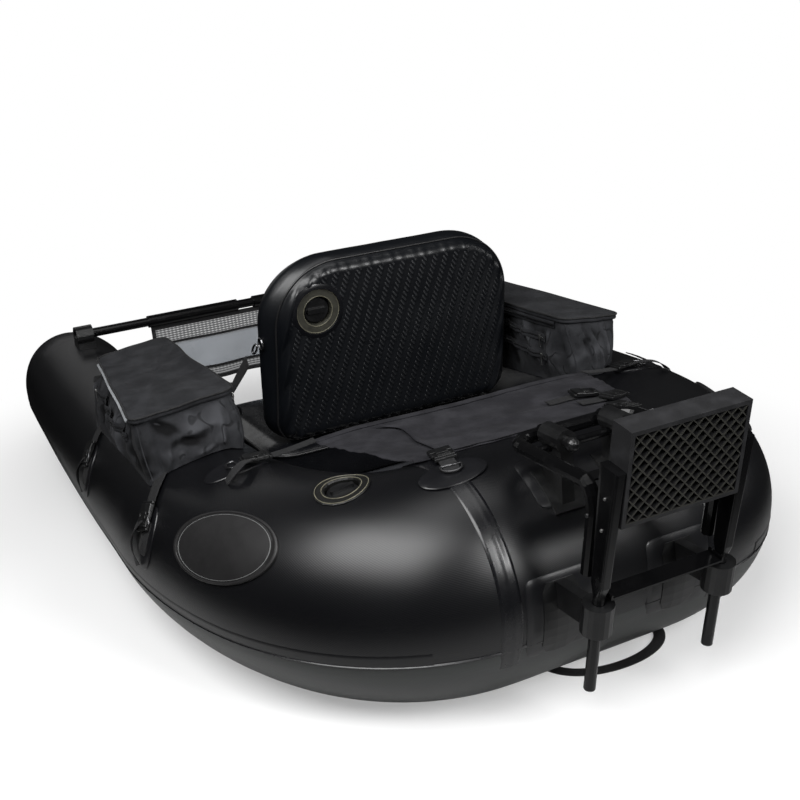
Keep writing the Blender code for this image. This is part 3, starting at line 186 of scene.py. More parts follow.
# Woven nylon: plain weave with a dull sheen and broad paler rubs. On slack walls painted shade darkens the
# hollows, painted highlight pales the ridges, and sharp creases wander about, darkened with painted shade
def nylonCloth(name, colour, pitch=0.0021):
    fixed = {"Sheen Weight": 0.02, "Sheen Roughness": 0.45, "Specular IOR Level": 0.09}
    paint = Paint(name, colour, 0.78, fixed)
    u, v = paint.cloth()
    threads = u.wave(pitch) * v.wave(pitch)
    rub, dust = paint.speckle(0.05, 4.0, 0.6), paint.speckle(0.004)
    fold = paint.panel()
    even = paint.blend(rub.step(0.35, 0.75), colour, shaded(colour, 1.7, 0.004))
    # Painted shade in the fold hollows and along the creases, painted highlight on the fold ridges
    paintedHollowShade = paint.blend((fold * -1).step(0.02, 0.75), even, shaded(colour, 0.22))
    paintedLight = paint.blend(fold.step(0.05, 1.0) * 0.8, paintedHollowShade, shaded(colour, 3.0, 0.008))
    wander = paint.speckle(0.055, 1.0, 0.4) - 0.5
    crease = (wander * wander * -1).step(-0.0006, 0.0) * (fold * fold).step(0.01, 0.08)
    base = paint.blend(crease * 0.6, paintedLight, shaded(colour, 0.18))
    return paint.dress(base, dust * 0.12 + 0.7, threads * 0.5 + dust + rub * 1.6 - crease * 4.0, 0.00022)


# Webbing: ribs across its length with a flat selvedge
def webbingCloth(name, colour):
    paint = Paint(name, colour, 0.72, {"Sheen Weight": 0.03, "Specular IOR Level": 0.35})
    u, v = paint.cloth()
    ribs = u.wave(0.0024) * 0.6 + (u.wave(0.0048) * v.wave(0.0028)) * 0.6
    fuzz = paint.speckle(0.003)
    base = paint.blend(fuzz.step(0.35, 0.8), colour, shaded(colour, 1.8, 0.006))
    return paint.dress(base, fuzz * 0.15 + 0.62, ribs + fuzz * 0.6, 0.00022)


# Moulded plastic: fine grain and slight flow marks
def mouldedPlastic(name, colour, roughness):
    paint = Paint(name, colour, roughness, {"Specular IOR Level": 0.5})
    pits, flow = paint.speckle(0.0011), paint.speckle(0.03, 3.0, 0.6)
    base = paint.blend(flow.step(0.4, 0.8), colour, shaded(colour, 1.5, 0.004))
    return paint.dress(base, flow * 0.14 + pits * 0.06 + (roughness - 0.1), pits + flow * 2.0, 0.00012)


# Baked gloss coating on steel tube: slight orange peel, rubbed dull in places
def glossCoating(name, colour, roughness):
    paint = Paint(name, colour, roughness, {"Specular IOR Level": 0.22, "Coat Roughness": 0.08})
    peel, rub = paint.speckle(0.0035), paint.speckle(0.045, 5.0, 0.65)
    worn = rub.step(0.55, 0.8)
    paint.set("Coat Weight", 0.25 - worn * 0.15)
    base = paint.blend(worn * 0.4, colour, (0.016, 0.016, 0.0165))
    return paint.dress(base, worn * 0.22 + peel * 0.05 + roughness, peel + rub, 0.00008)


def platedSteel(name, colour, roughness):
    paint = Paint(name, colour, roughness, {"Metallic": 1.0})
    grain, stain = paint.speckle(0.0015, 3.0), paint.speckle(0.008, 3.0)
    base = paint.blend(stain.step(0.5, 0.9), colour, shaded(colour, 0.6))
    return paint.dress(base, grain * 0.2 + (roughness - 0.05), grain, 0.00005)


# Quilted panel of the backrest: slanted columns of short pressed dashes, lightened with painted highlight
# that is stronger toward its top
quilt = {"slant": 0.30, "columnPitch": 0.0245, "dashSlant": 0.9, "dashPitch": 0.0090, "depth": 0.0019}


def dashedPanel(name, colour, roughness):
    paint = Paint(name, colour, roughness, {"Specular IOR Level": 0.5})
    u, v = paint.cloth()
    slanted = u - v * quilt["slant"]
    column = slanted.wave(quilt["columnPitch"])
    dashes = (v + slanted * quilt["dashSlant"]).wave(quilt["dashPitch"])
    soft, shine = paint.speckle(0.05, 3.0), paint.speckle(0.006)
    inner = paint.panel()
    raised = (column.step(-0.35, 0.55) * dashes.step(-0.5, 0.7)) * inner
    # Painted highlight: the raised dashes are lighter, and more so toward the top
    paintedLight = raised * (v.step(0.02, 0.36) * 0.85 + 0.25)
    base = paint.blend(paintedLight, colour, shaded(colour, 2.0, 0.018))
    rough = soft * 0.10 + inner * 0.06 + (roughness - 0.08)
    return paint.dress(base, rough, raised + shine * 0.05 + soft * 0.3, quilt["depth"])


# Open mesh: fine threads with light between them
def openMesh(name, colour, pitch, cover):
    paint = Paint(name, colour, 0.7, {"Specular IOR Level": 0.3})
    u, v = paint.cloth()
    lines = u.wave(pitch) * 0.5 + v.wave(pitch * 1.7) * 0.25
    tone = paint.speckle(0.02)
    paint.set("Alpha", lines * 0.35 + cover)
    return paint.dress(paint.blend(tone, colour, shaded(colour, 1.3, 0.01)), tone * 0.1 + 0.65, lines, 0.0002)


def milkyPanel(name, colour, alpha):
    paint = Paint(name, colour, 0.4, {"Specular IOR Level": 0.5})
    haze = paint.speckle(0.03, 3.0)
    paint.set("Alpha", haze * 0.12 + (alpha - 0.06))
    return paint.dress(paint.blend(haze, colour, shaded(colour, 0.92)), haze * 0.15 + 0.3, haze, 0.0008)


# Motor board: black moulding whose lattice bars are greyer on their front faces
board = {"rake": 0.1878, "topY": -0.3504, "topZ": 0.5056, "depth": 0.0397, "latticeHalfX": 0.0930,
         "latticeLow": -0.1428, "latticeHigh": -0.0072, "fade": 0.0012,
         "black": ((0.014, 0.014, 0.015), (0.024, 0.024, 0.026)),
         "grey": ((0.020, 0.020, 0.0175), (0.034, 0.033, 0.028))}


def boardPlastic(name):
    b = board
    paint = Paint(name, b["black"][0], 0.42, {"Specular IOR Level": 0.5})
    x, y, z = paint.parts(paint.place())
    shifted = y + (originY - b["topY"])
    height = z - b["topZ"]
    depth = shifted * math.cos(b["rake"]) + height * math.sin(b["rake"])
    rise = height * math.cos(b["rake"]) - shifted * math.sin(b["rake"])
    face = 1 - depth.step(0.0005, 0.003)
    inside = (1 - x.op("ABSOLUTE").step(b["latticeHalfX"], b["latticeHalfX"] + b["fade"])) \
        * rise.step(b["latticeLow"], b["latticeLow"] + 0.001) \
        * (1 - rise.step(b["latticeHigh"], b["latticeHigh"] + b["fade"]))
    pits, flow = paint.speckle(0.0012), paint.speckle(0.03, 3.0)
    lattice = paint.blend(flow, *b["grey"])
    moulding = paint.blend(flow.step(0.4, 0.8), *b["black"])
    return paint.dress(paint.blend(face * inside, moulding, lattice), flow * 0.14 + pits * 0.06 + 0.34,
                       pits + flow * 2.0, 0.00015)


# Valve ring: dull moulding, stained in places
def valveMoulding(name, colour):
    paint = Paint(name, colour, 0.46, {"Specular IOR Level": 0.5})
    pits, stain = paint.speckle(0.0013), paint.speckle(0.012, 3.0)
    base = paint.blend(stain.step(0.35, 0.75), colour, shaded(colour, 0.55))
    return paint.dress(base, stain * 0.15 + 0.36, pits + stain * 2.0, 0.0002)


# Each finish: its material and the name of its slot in the part's own list
finishes = {
    "hull": (coatedFabric("hullFabric", (0.0024, 0.0025, 0.0032), 0.31, 0.00012), "pvc_black"),
    "skin": (coatedFabric("bottomSkin", (0.0225, 0.0250, 0.0242), 0.34, 0.0001, 0.4), "pvc_black"),
    "tape": (smoothStrip("tapeStrip", (0.0030, 0.0031, 0.0040), 0.25), "pvc_black"),
    "patch": (smoothStrip("patchStrip", (0.0032, 0.0033, 0.0042), 0.30), "pvc_black"),
    "badge": (smoothStrip("badgePlate", (0.0085, 0.0082, 0.0085), 0.42), "pvc_black"),
    "badgeLine": (smoothStrip("badgeLine", (0.11, 0.112, 0.112), 0.45), "pvc_black"),
    "quilt": (dashedPanel("backPanel", (0.0022, 0.0028, 0.0040), 0.36), "pvc_black"),
    "pad": (smoothStrip("padSide", (0.0030, 0.0032, 0.0042), 0.22, 0.0003), "pvc_black"),
    "nylon": (nylonCloth("bagNylon", (0.0175, 0.0180, 0.0200)), "nylon_black"),
    "floorNylon": (nylonCloth("floorNylon", (0.028, 0.029, 0.0325)), "nylon_black"),
    "coverNylon": (nylonCloth("coverNylon", (0.0165, 0.0163, 0.0190)), "nylon_black"),
    "paleTrim": (nylonCloth("paleTrim", (0.23, 0.24, 0.25)), "nylon_black"),
    "piping": (smoothStrip("pipingCord", (0.0048, 0.0048, 0.0054), 0.33), "nylon_black"),
    "webbing": (webbingCloth("strapWebbing", (0.0062, 0.0062, 0.0068)), "webbing_black"),
    "plastic": (mouldedPlastic("blackMoulding", (0.0048, 0.0049, 0.0052), 0.34), "plastic_black"),
    "board": (boardPlastic("boardMoulding"), "plastic_black"),
    "tube": (glossCoating("tubeCoating", (0.0028, 0.0028, 0.0031), 0.15), "tube_black"),
    "steel": (platedSteel("platedSteel", (0.55, 0.55, 0.54), 0.28), "steel"),
    "darkSteel": (platedSteel("darkSteel", (0.16, 0.16, 0.165), 0.30), "steel"),
    "olive": (valveMoulding("oliveMoulding", (0.042, 0.041, 0.032)), "valve_olive"),
    "blackOlive": (valveMoulding("darkMoulding", (0.0052, 0.0052, 0.0046)), "valve_olive"),
    "oliveLine": (valveMoulding("oliveLine", (0.17, 0.16, 0.115)), "valve_olive"),
    "mesh": (openMesh("apronMesh", (0.040, 0.043, 0.047), 0.0058, 0.60), "mesh_grey"),
    "panel": (milkyPanel("apronPanel", (0.33, 0.36, 0.40), 0.70), "mesh_grey"),
}
print("materials ready")


# A piece from a net of points: rows run along it, and each row goes across or round it
def addNet(name, rows, finish, body="hull", ring=False, loop=False, caps=(), sharp=45, marks=None):
    net = np.array([[tuple(p) for p in row] for row in rows], float)
    count, across = net.shape[:2]
    faces, corners = [], []
    for i in range(count if loop else count - 1):
        n = (i + 1) % count
        for k in range(across if ring else across - 1):
            m = (k + 1) % across
            faces.append((i * across + k, n * across + k, n * across + m, i * across + m))
            corners += [(i, k), (i + 1, k), (i + 1, k + 1), (i, k + 1)]
    # The cloth map is in metres: along the rows' middle spacing, and across each row
    along = np.linalg.norm(np.diff(net, axis=0, append=net[:1]), axis=2).mean(1)
    along = np.concatenate([[0], np.cumsum(along)])
    steps = np.linalg.norm(np.diff(net, axis=1, append=net[:, :1]), axis=2)
    aside = np.concatenate([np.zeros((count, 1)), np.cumsum(steps, axis=1)], axis=1)
    uv = [(along[i], aside[i % count, k]) for i, k in corners]
    for end in caps:
        row = 0 if end == "start" else count - 1
        faces.append(tuple(row * across + k for k in range(across)))
        uv += [(along[row], k * 0.001) for k in range(across)]
    mesh = bpy.data.meshes.new(name)
    mesh.from_pydata([tuple(p) for p in net.reshape(-1, 3) - (0, originY, 0)], [], faces)
    mesh.uv_layers.new(name="cloth").data.foreach_set("uv", np.array(uv, np.float32).ravel())
    if marks is not None:
        values = np.array(marks, np.float32).ravel()
        mesh.attributes.new("panel", "FLOAT", "POINT").data.foreach_set("value", values)
    return addMesh(name, mesh, finish, body, sharp, len(caps) > 0 or ring)


def addMesh(name, mesh, finish, body, sharp, recalculate=True):
    if recalculate:
        bm = bmesh.new()
        bm.from_mesh(mesh)
        bmesh.ops.recalc_face_normals(bm, faces=bm.faces)
        bm.to_mesh(mesh)
        bm.free()
    material, slot = finishes[finish]
    mesh.shade_smooth()
    mesh.set_sharp_from_angle(angle=math.radians(sharp))
    mesh.materials.append(material)
    piece = linkNew(name, mesh)
    if body:
        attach(piece, body)
    return piece


def linkNew(name, data):
    made = bpy.data.objects.new(name, data)
    bpy.context.scene.collection.objects.link(made)
    return made


# Points on a circle, in the plane of two ways
def circle(centre, across, up, radius, count):
    turns = [2 * math.pi * k / count for k in range(count)]
    return [centre + (across * math.cos(a) + up * math.sin(a)) * radius for a in turns]


def tubeRows(path, radius, sideCount, closed):
    rows = []
    across = None
    for k, point in enumerate(path):
        last = path[(k - 1) % len(path)] if closed else path[max(k - 1, 0)]
        following = path[(k + 1) % len(path)] if closed else path[min(k + 1, len(path) - 1)]
        way = (following - last).normalized()
        if across is None:
            across = way.orthogonal().normalized()
        across = (across - way * across.dot(way)).normalized()
        rows.append(circle(point, across, way.cross(across), radius, sideCount))
    return rows


def addTube(name, path, radius, finish, body="hull", closed=False, sideCount=10):
    caps = () if closed else ("start", "end")
    rows = tubeRows(path, radius, sideCount, closed)
    return addNet(name, rows, finish, body, ring=True, loop=closed, caps=caps)


# Hull: an inflated U tube that tapers to raised bow noses
hull = {
    "sternRadius": 0.1868, "legRadius": 0.162, "tipRadius": 0.1293, "sternHalf": 0.148,
    "legHalfSpan": 0.4263, "tipHalfSpan": 0.4284, "cornerEndY": 0.4939, "tipY": 1.448,
    "handleLeg": 0.1667, "handleStern": 0.2234, "bowRestY": 0.701, "bowLift": 0.0576,
    "noseLength": 0.190, "noseRise": 0.029, "noseShare": 0.93, "sides": 112, "step": 0.0095,
    "pointCounts": (14, 70, 90, 32), "lowestZ": 0.0008,
    "capRows": ((0.93, 0.0045), (0.75, 0.0085), (0.45, 0.0115), (0.15, 0.0125)),
}


# The centre line from the starboard nose round the stern to the port nose: x, y, z and radius
def makeCentreLine():
    h = hull
    sternCount, cornerCount, legCount, noseCount = h["pointCounts"]
    stern = h["sternRadius"]
    rows = [(-h["sternHalf"] * k / sternCount, 0, stern, stern) for k in range(sternCount)]
    start, end = Vector((-h["sternHalf"], 0)), Vector((-h["legHalfSpan"], h["cornerEndY"]))
    way = Vector((h["legHalfSpan"] - h["tipHalfSpan"], h["tipY"] - h["cornerEndY"])).normalized()
    first, second = start - Vector((h["handleStern"], 0)), end - way * h["handleLeg"]
    for k in range(cornerCount):
        u = k / cornerCount
        v = 1 - u
        p = start * v ** 3 + first * 3 * v * v * u + second * 3 * v * u * u + end * u ** 3
        radius = h["legRadius"] + (stern - h["legRadius"]) * v ** 1.5
        rows.append((p.x, p.y, radius, radius))
    for k in range(legCount):
        u = k / legCount
        y = h["cornerEndY"] + (h["tipY"] - h["cornerEndY"]) * u
        radius = h["legRadius"] + (h["tipRadius"] - h["legRadius"]) * u
        climb = max(0, (y - h["bowRestY"]) / (h["tipY"] - h["bowRestY"]))
        x = -h["legHalfSpan"] - (h["tipHalfSpan"] - h["legHalfSpan"]) * u
        rows.append((x, y, radius + h["bowLift"] * climb ** 2, radius))
    for k in range(noseCount + 1):
        t = math.sin(math.pi / 2 * k / noseCount)
        radius = h["tipRadius"] * math.sqrt(1 - h["noseShare"] * t * t)
        rows.append((-h["tipHalfSpan"], h["tipY"] + h["noseLength"] * t,
                     h["tipRadius"] + h["bowLift"] + h["noseRise"] * t, radius))
    port = np.array(rows)
    return np.concatenate([port[:0:-1] * np.array([-1, 1, 1, 1]), port])


line = makeCentreLine()
lineStations = np.concatenate([[0], np.cumsum(np.linalg.norm(np.diff(line[:, :2], axis=0), axis=1))])
lineStations -= lineStations[len(line) // 2]
legFrom = len(line) // 2 + hull["pointCounts"][0]


# Stations are lengths along the centre line from the stern's middle, and those of the port side are positive
def stationAt(y):
    return float(np.interp(y, line[legFrom:, 1], lineStations[legFrom:]))


def lineAt(station):
    return Vector([float(np.interp(station, lineStations, line[:, i])) for i in range(3)])


def hullFrame(station):
    tangent = (lineAt(station + 0.008) - lineAt(station - 0.008)).normalized()
    outward = upZ.cross(tangent).normalized()
    upward = tangent.cross(outward).normalized()
    return lineAt(station), outward, upward, float(np.interp(station, lineStations, line[:, 3]))


# Where the taut skin isn't quite round: shallow puckers inside the corners
puckers = {"station": 0.40, "spread": 0.17, "height": 0.0022, "pitch": 0.047, "unevenness": 0.0005}


def pucker(station, angle):
    p = puckers
    s = abs(station)
    corner = math.exp(-((s - p["station"]) / p["spread"]) ** 2)
    inner = max(0.0, -math.sin(angle)) ** 2
    height = p["height"] * corner * inner * (math.cos(2 * math.pi * s / p["pitch"] + 2 * angle) - 0.4)
    spot = Vector((station * 7, math.cos(angle) * 2, math.sin(angle) * 2))
    return height + p["unevenness"] * noise.noise(spot)


def onHull(station, angle, lift=0.0):
    centre, outward, upward, radius = hullFrame(station)
    way = upward * math.cos(angle) + outward * math.sin(angle)
    return centre + way * (radius + lift + pucker(station, angle))


# A spot on the round skin, its normal, and the way down the skin there
def skinSpot(station, degrees):
    centre, outward, upward, radius = hullFrame(station)
    a = math.radians(degrees)
    normal = (upward * math.cos(a) + outward * math.sin(a)).normalized()
    down = (outward * math.cos(a) - upward * math.sin(a)).normalized()
    return centre + normal * radius, normal, down


def snapToHull(point, lift=0.0):
    p = np.array(point)
    spans = line[1:, :3] - line[:-1, :3]
    share = np.clip(((p - line[:-1, :3]) * spans).sum(1) / (spans ** 2).sum(1), 0, 1)
    nearest = line[:-1] + (line[1:] - line[:-1]) * share[:, None]
    best = int(np.argmin(np.linalg.norm(nearest[:, :3] - p, axis=1) - nearest[:, 3]))
    centre = Vector(nearest[best, :3])
    normal = (Vector(point) - centre).normalized()
    return centre + normal * (float(nearest[best, 3]) + lift), normal


def skinNormals(points):
    return [snapToHull(p)[1] for p in points]


def depthInHull(point):
    return float((line[:, 3] - np.linalg.norm(line[:, :3] - np.array(point), axis=1)).max())


def hullStations(low, high, step):
    count = round((high - low) / step)
    return [low + (high - low) * k / count for k in range(count + 1)]


def makeHull():
    far = lineStations[-1]
    rows = []
    for station in hullStations(-far, far, hull["step"]):
        row = [onHull(station, 2 * math.pi * k / hull["sides"]) for k in range(hull["sides"])]
        rows.append([Vector((p.x, p.y, max(p.z, hull["lowestZ"]))) for p in row])
    # Rounded ends of the noses
    for end in (0, -1):
        rim = rows[end]
        middle = sum(rim, Vector()) / len(rim)
        for share, reach in hull["capRows"]:
            ring = [middle + (p - middle) * share + Vector((0, reach, 0)) for p in rim]
            rows = [ring] + rows if end == 0 else rows + [ring]
    piece = addNet("hullSkin", rows, "hull", ring=True, caps=("start", "end"), sharp=80)
    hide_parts("hull_tube")


# Panels of the hull: the grey bottom skin, the band above it and the glued tapes. Angles are from the crown
bottom = {"from": 105, "to": 255, "lift": 0.0016, "step": 0.012, "bowGap": 0.04, "lowestZ": 0.0002,
          "tuck": 0.0003, "bandFrom": 97.5, "bandTo": 106, "bandStart": 0.235, "bandLift": 0.0009,
          "seamFrom": 104.1, "seamTo": 105.5, "seamStart": 0.05, "seamLift": 0.0024, "sideBowGap": 0.09,
          "tapeX": 0.193, "tapeWidth": 0.036, "tapeLift": 0.0017, "tapeFrom": -40, "tapeTo": 116,
          "ridge": 0.0007, "ridgeShare": 0.12, "ridgeWidthShare": 0.07}


# A band on the skin between two hull angles, with a lifted edge along both sides
def hullBand(name, low, high, fromAngle, toAngle, lift, finish, count):
    rows = []
    for station in hullStations(low, high, bottom["step"]):
        row = []
        for k in range(count + 1):
            edge = min(1.0, min(k, count - k) / 0.7)
            angle = math.radians(fromAngle + (toAngle - fromAngle) * k / count)
            point = onHull(station, angle, lift * edge - bottom["tuck"] * (1 - edge))
            point.z = max(point.z, bottom["lowestZ"])
            row.append(point)
        rows.append(row)
    addNet(name, rows, finish, sharp=60)


def seamTapeRows(sign, rowCount=110, columnCount=12):
    b, r = bottom, hull["sternRadius"]
    rows = []
    for k in range(rowCount + 1):
        a = math.radians(b["tapeFrom"] + (b["tapeTo"] - b["tapeFrom"]) * k / rowCount)
        row = []
        for c in range(columnCount + 1):
            shift = c / columnCount - 0.5
            x = sign * (b["tapeX"] + shift * b["tapeWidth"])
            flat = Vector((x, -r * math.sin(a), r * (1 + math.cos(a))))
            edge = min(1.0, min(c, columnCount - c) / 0.8)
            ridge = b["ridge"] * math.exp(-((shift - b["ridgeShare"] * sign) / b["ridgeWidthShare"]) ** 2)
            row.append(snapToHull(flat, b["tapeLift"] * edge - b["tuck"] * (1 - edge) + ridge)[0])
        rows.append(row)
    return rows


def makeHullPanels():
    b = bottom
    far = float(lineStations[-1])
    hullBand("bottomSkin", b["bowGap"] - far, far - b["bowGap"], b["from"], b["to"], b["lift"], "skin", 40)
    for side, sign in sides.items():
        end = -sign * (far - b["sideBowGap"])
        low, high = sorted((-sign * b["bandStart"], end))
        hullBand("chineBand_" + side, low, high, b["bandFrom"], b["bandTo"], b["bandLift"], "hull", 8)
        low, high = sorted((-sign * b["seamStart"], end))
        hullBand("chineSeam_" + side, low, high, b["seamFrom"], b["seamTo"], b["seamLift"], "tape", 3)
        tape = addNet("seamTape_" + side, seamTapeRows(sign), "tape", sharp=60)
        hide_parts("seam_tape_" + side)


# Rings of points on the skin: each row of the profile is the outline's share and its height
def plateRows(centre, normal, along, outline, profile):
    across = normal.cross(along).normalized()
    along = across.cross(normal).normalized()
    return [[snapToHull(centre + along * (x * share) + across * (y * share), height)[0] for x, y in outline]
            for share, height in profile]


def skinPlate(name, centre, normal, along, outline, profile, finish="patch"):
    rows = plateRows(centre, normal, along, outline, profile)
    return addNet(name, rows, finish, ring=True, caps=("end",), sharp=35)


def oval(halfX, halfY, count=48, power=2.0):
    points = []
    for k in range(count):
        c, s = math.cos(2 * math.pi * k / count), math.sin(2 * math.pi * k / count)
        points.append((halfX * math.copysign(abs(c) ** (2 / power), c),
                       halfY * math.copysign(abs(s) ** (2 / power), s)))
    return points


def flatProfile(height, lift=0.0):
    rows = [(1.0, -0.0004), (1.0, height * 0.5)] + [(share, height) for share in (0.97, 0.8, 0.55, 0.3, 0.08)]
    return [(share, rise + lift) for share, rise in rows]


# Oval badges on both quarters: a raised rim round a bare plate, with a pale line
badge = {"station": 0.472, "angle": 54, "turn": 8, "halfX": 0.122, "halfY": 0.061, "count": 96,
         "rim": ((1.0, -0.0004), (1.0, 0.0026), (0.992, 0.0044), (0.965, 0.0050), (0.94, 0.0046),
                 (0.925, 0.0034)),
         "plate": 0.0033, "plateShares": (0.85, 0.7, 0.5, 0.3, 0.08),
         "line": ((0.886, 0.0031), (0.884, 0.0038), (0.872, 0.0038), (0.870, 0.0031))}


def makeBadges():
    b = badge
    outline = oval(b["halfX"], b["halfY"], b["count"])
    profile = b["rim"] + tuple((share, b["plate"]) for share in b["plateShares"])
    for side, sign in sides.items():
        middle, normal, down = skinSpot(-sign * b["station"], b["angle"])
        along = Matrix.Rotation(-sign * math.radians(b["turn"]), 3, normal) @ down.cross(normal)
        plate = skinPlate("badge_" + side, middle, normal, along, outline, profile, "badge")
        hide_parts("badge_patch_" + side)
        rows = plateRows(middle, normal, along, outline, b["line"])
        addNet("badgeLine_" + side, rows, "badgeLine", ring=True, loop=True, sharp=60)


makeHull()
makeHullPanels()
makeBadges()
print("hull ready")


# A rounded outline inset by a distance: corner radii differ at the top and bottom
def slabOutline(halfX, low, high, topCorner, lowCorner, inset):
    middle = (high + low) / 2
    arcs = []
    corners = ((1, high, topCorner), (-1, high, topCorner), (-1, low, lowCorner), (1, low, lowCorner))
    for turn, (sx, z, corner) in enumerate(corners):
        radius = max(corner - inset, 0.003)
        cx = sx * (max(halfX - inset, 0.006) - radius)
        edge = math.copysign(max(abs(z - middle) - inset, 0.004), z - middle) + middle
        cz = edge - math.copysign(radius, z - middle)
        turns = [math.pi / 2 * (turn + k / 20) for k in range(21)]
        arcs.append([(cx + radius * math.cos(a), cz + radius * math.sin(a)) for a in turns])
    points = []
    for k, (arc, count) in enumerate(zip(arcs, (26, 20, 40, 20))):
        (ax, az), (bx, bz) = arc[-1], arcs[(k + 1) % 4][0]
        points += arc + [(ax + (bx - ax) * n / count, az + (bz - az) * n / count) for n in range(1, count)]
    return points


# A round hole through a piece, where a CAD solid sits
def cutHole(piece, centre, normal, radius, depth=0.07):
    bm = bmesh.new()
    bmesh.ops.create_cone(bm, cap_ends=True, segments=48, radius1=radius, radius2=radius, depth=depth)
    turn = normal.to_track_quat("Z", "Y").to_matrix().to_4x4()
    place = Matrix.Translation(centre - Vector((0, originY, 0)))
    bmesh.ops.transform(bm, matrix=place @ turn, verts=bm.verts)
    mesh = bpy.data.meshes.new("cutter")
    bm.to_mesh(mesh)
    bm.free()
    cutter = linkNew("cutter", mesh)
    modifier = piece.modifiers.new("hole", "BOOLEAN")
    modifier.operation, modifier.solver, modifier.object = "DIFFERENCE", "EXACT", cutter
    bpy.context.view_layer.update()
    made = bpy.data.meshes.new_from_object(piece.evaluated_get(bpy.context.evaluated_depsgraph_get()))
    piece.modifiers.clear()
    piece.data = made
    bpy.data.objects.remove(cutter)


# Backrest: an inflated slab with a quilted face, soft border and piping. Its outline is worked out flat and
# stood on the hinge, leaning back
back = {"x": 0.014, "hingeY": 0.653, "hingeZ": 0.2531, "lean": 0.1203, "halfX": 0.261, "height": 0.366,
        "thickness": 0.09, "topCorner": 0.13, "lowCorner": 0.05, "border": 0.021, "seamDepth": 0.0195,
        "deepest": 0.178, "insetStep": 0.0042, "insetCount": 42, "firstInset": 0.0035,
        "edgeRise": 0.017, "puckers": 0.0044, "puckerInset": 0.011, "puckerWidth": 0.008,
        "columnRise": 0.0007, "softness": 0.0014, "wallSoftness": 0.0010, "pipingRadius": 0.0022,
        "sternInset": 0.0025, "bowInset": 0.016, "sternDrop": 0.010, "sternShift": 0.014,
        "sternNarrow": 0.008, "bowSpread": 0.011, "valveX": -0.146, "valveUp": 0.265, "valveRadius": 0.0445,
        "valveSeat": ((0.0435, 0.002), (0.0445, -0.0016), (0.0500, -0.0016), (0.0560, 0.0012)),
        "valveLines": (0.0430, 0.0298), "valveLineDepth": 0.0017, "valveLineRadius": 0.0007,
        "panelFade": 0.010, "columnFade": 0.014, "softFade": 0.02, "middle": 0.182,
        "wallRows": 16, "wallSternShare": 0.30, "wallBowFrom": 0.42, "wallTuck": 0.001}
backHinge = Vector((back["x"], back["hingeY"], back["hingeZ"]))
backUp = Vector((0, -math.sin(back["lean"]), math.cos(back["lean"])))
backBow = Vector((0, math.cos(back["lean"]), math.sin(back["lean"])))


def onBack(x, z, depth):
    return backHinge + Vector((x, 0, 0)) + backUp * z + backBow * depth


def backOutline(inset):
    return slabOutline(back["halfX"], 0, back["height"], back["topCorner"], back["lowCorner"], inset)


# The stern face sits lower and further to starboard than the widest ring, and the bow side is wider
def settle(x, z, stern):
    b = back
    high = min(1.0, z / b["height"])
    x += stern * (b["sternShift"] - b["sternNarrow"] * x / b["halfX"]) * high ** 0.4
    x += (1 - stern) * b["bowSpread"] * (x / b["halfX"]) * (1 - high ** 6)
    return x, z - stern * b["sternDrop"] * high ** 2


def backFaceHeight(x, z, inset):
    b = back
    wave = math.cos(2 * math.pi * (x - quilt["slant"] * z) / quilt["columnPitch"])
    edge = b["edgeRise"] * max(0.0, 1 - inset / b["border"]) ** 2
    window = math.exp(-((inset - b["puckerInset"]) / b["puckerWidth"]) ** 2)
    inner = min(1.0, max(0.0, (inset - b["border"]) / b["columnFade"]))
    soft = b["softness"] * noise.noise(Vector((x * 14, z * 14, 3))) * min(1.0, inset / b["softFade"])
    return edge - b["puckers"] * window * wave - b["columnRise"] * inner * wave - soft


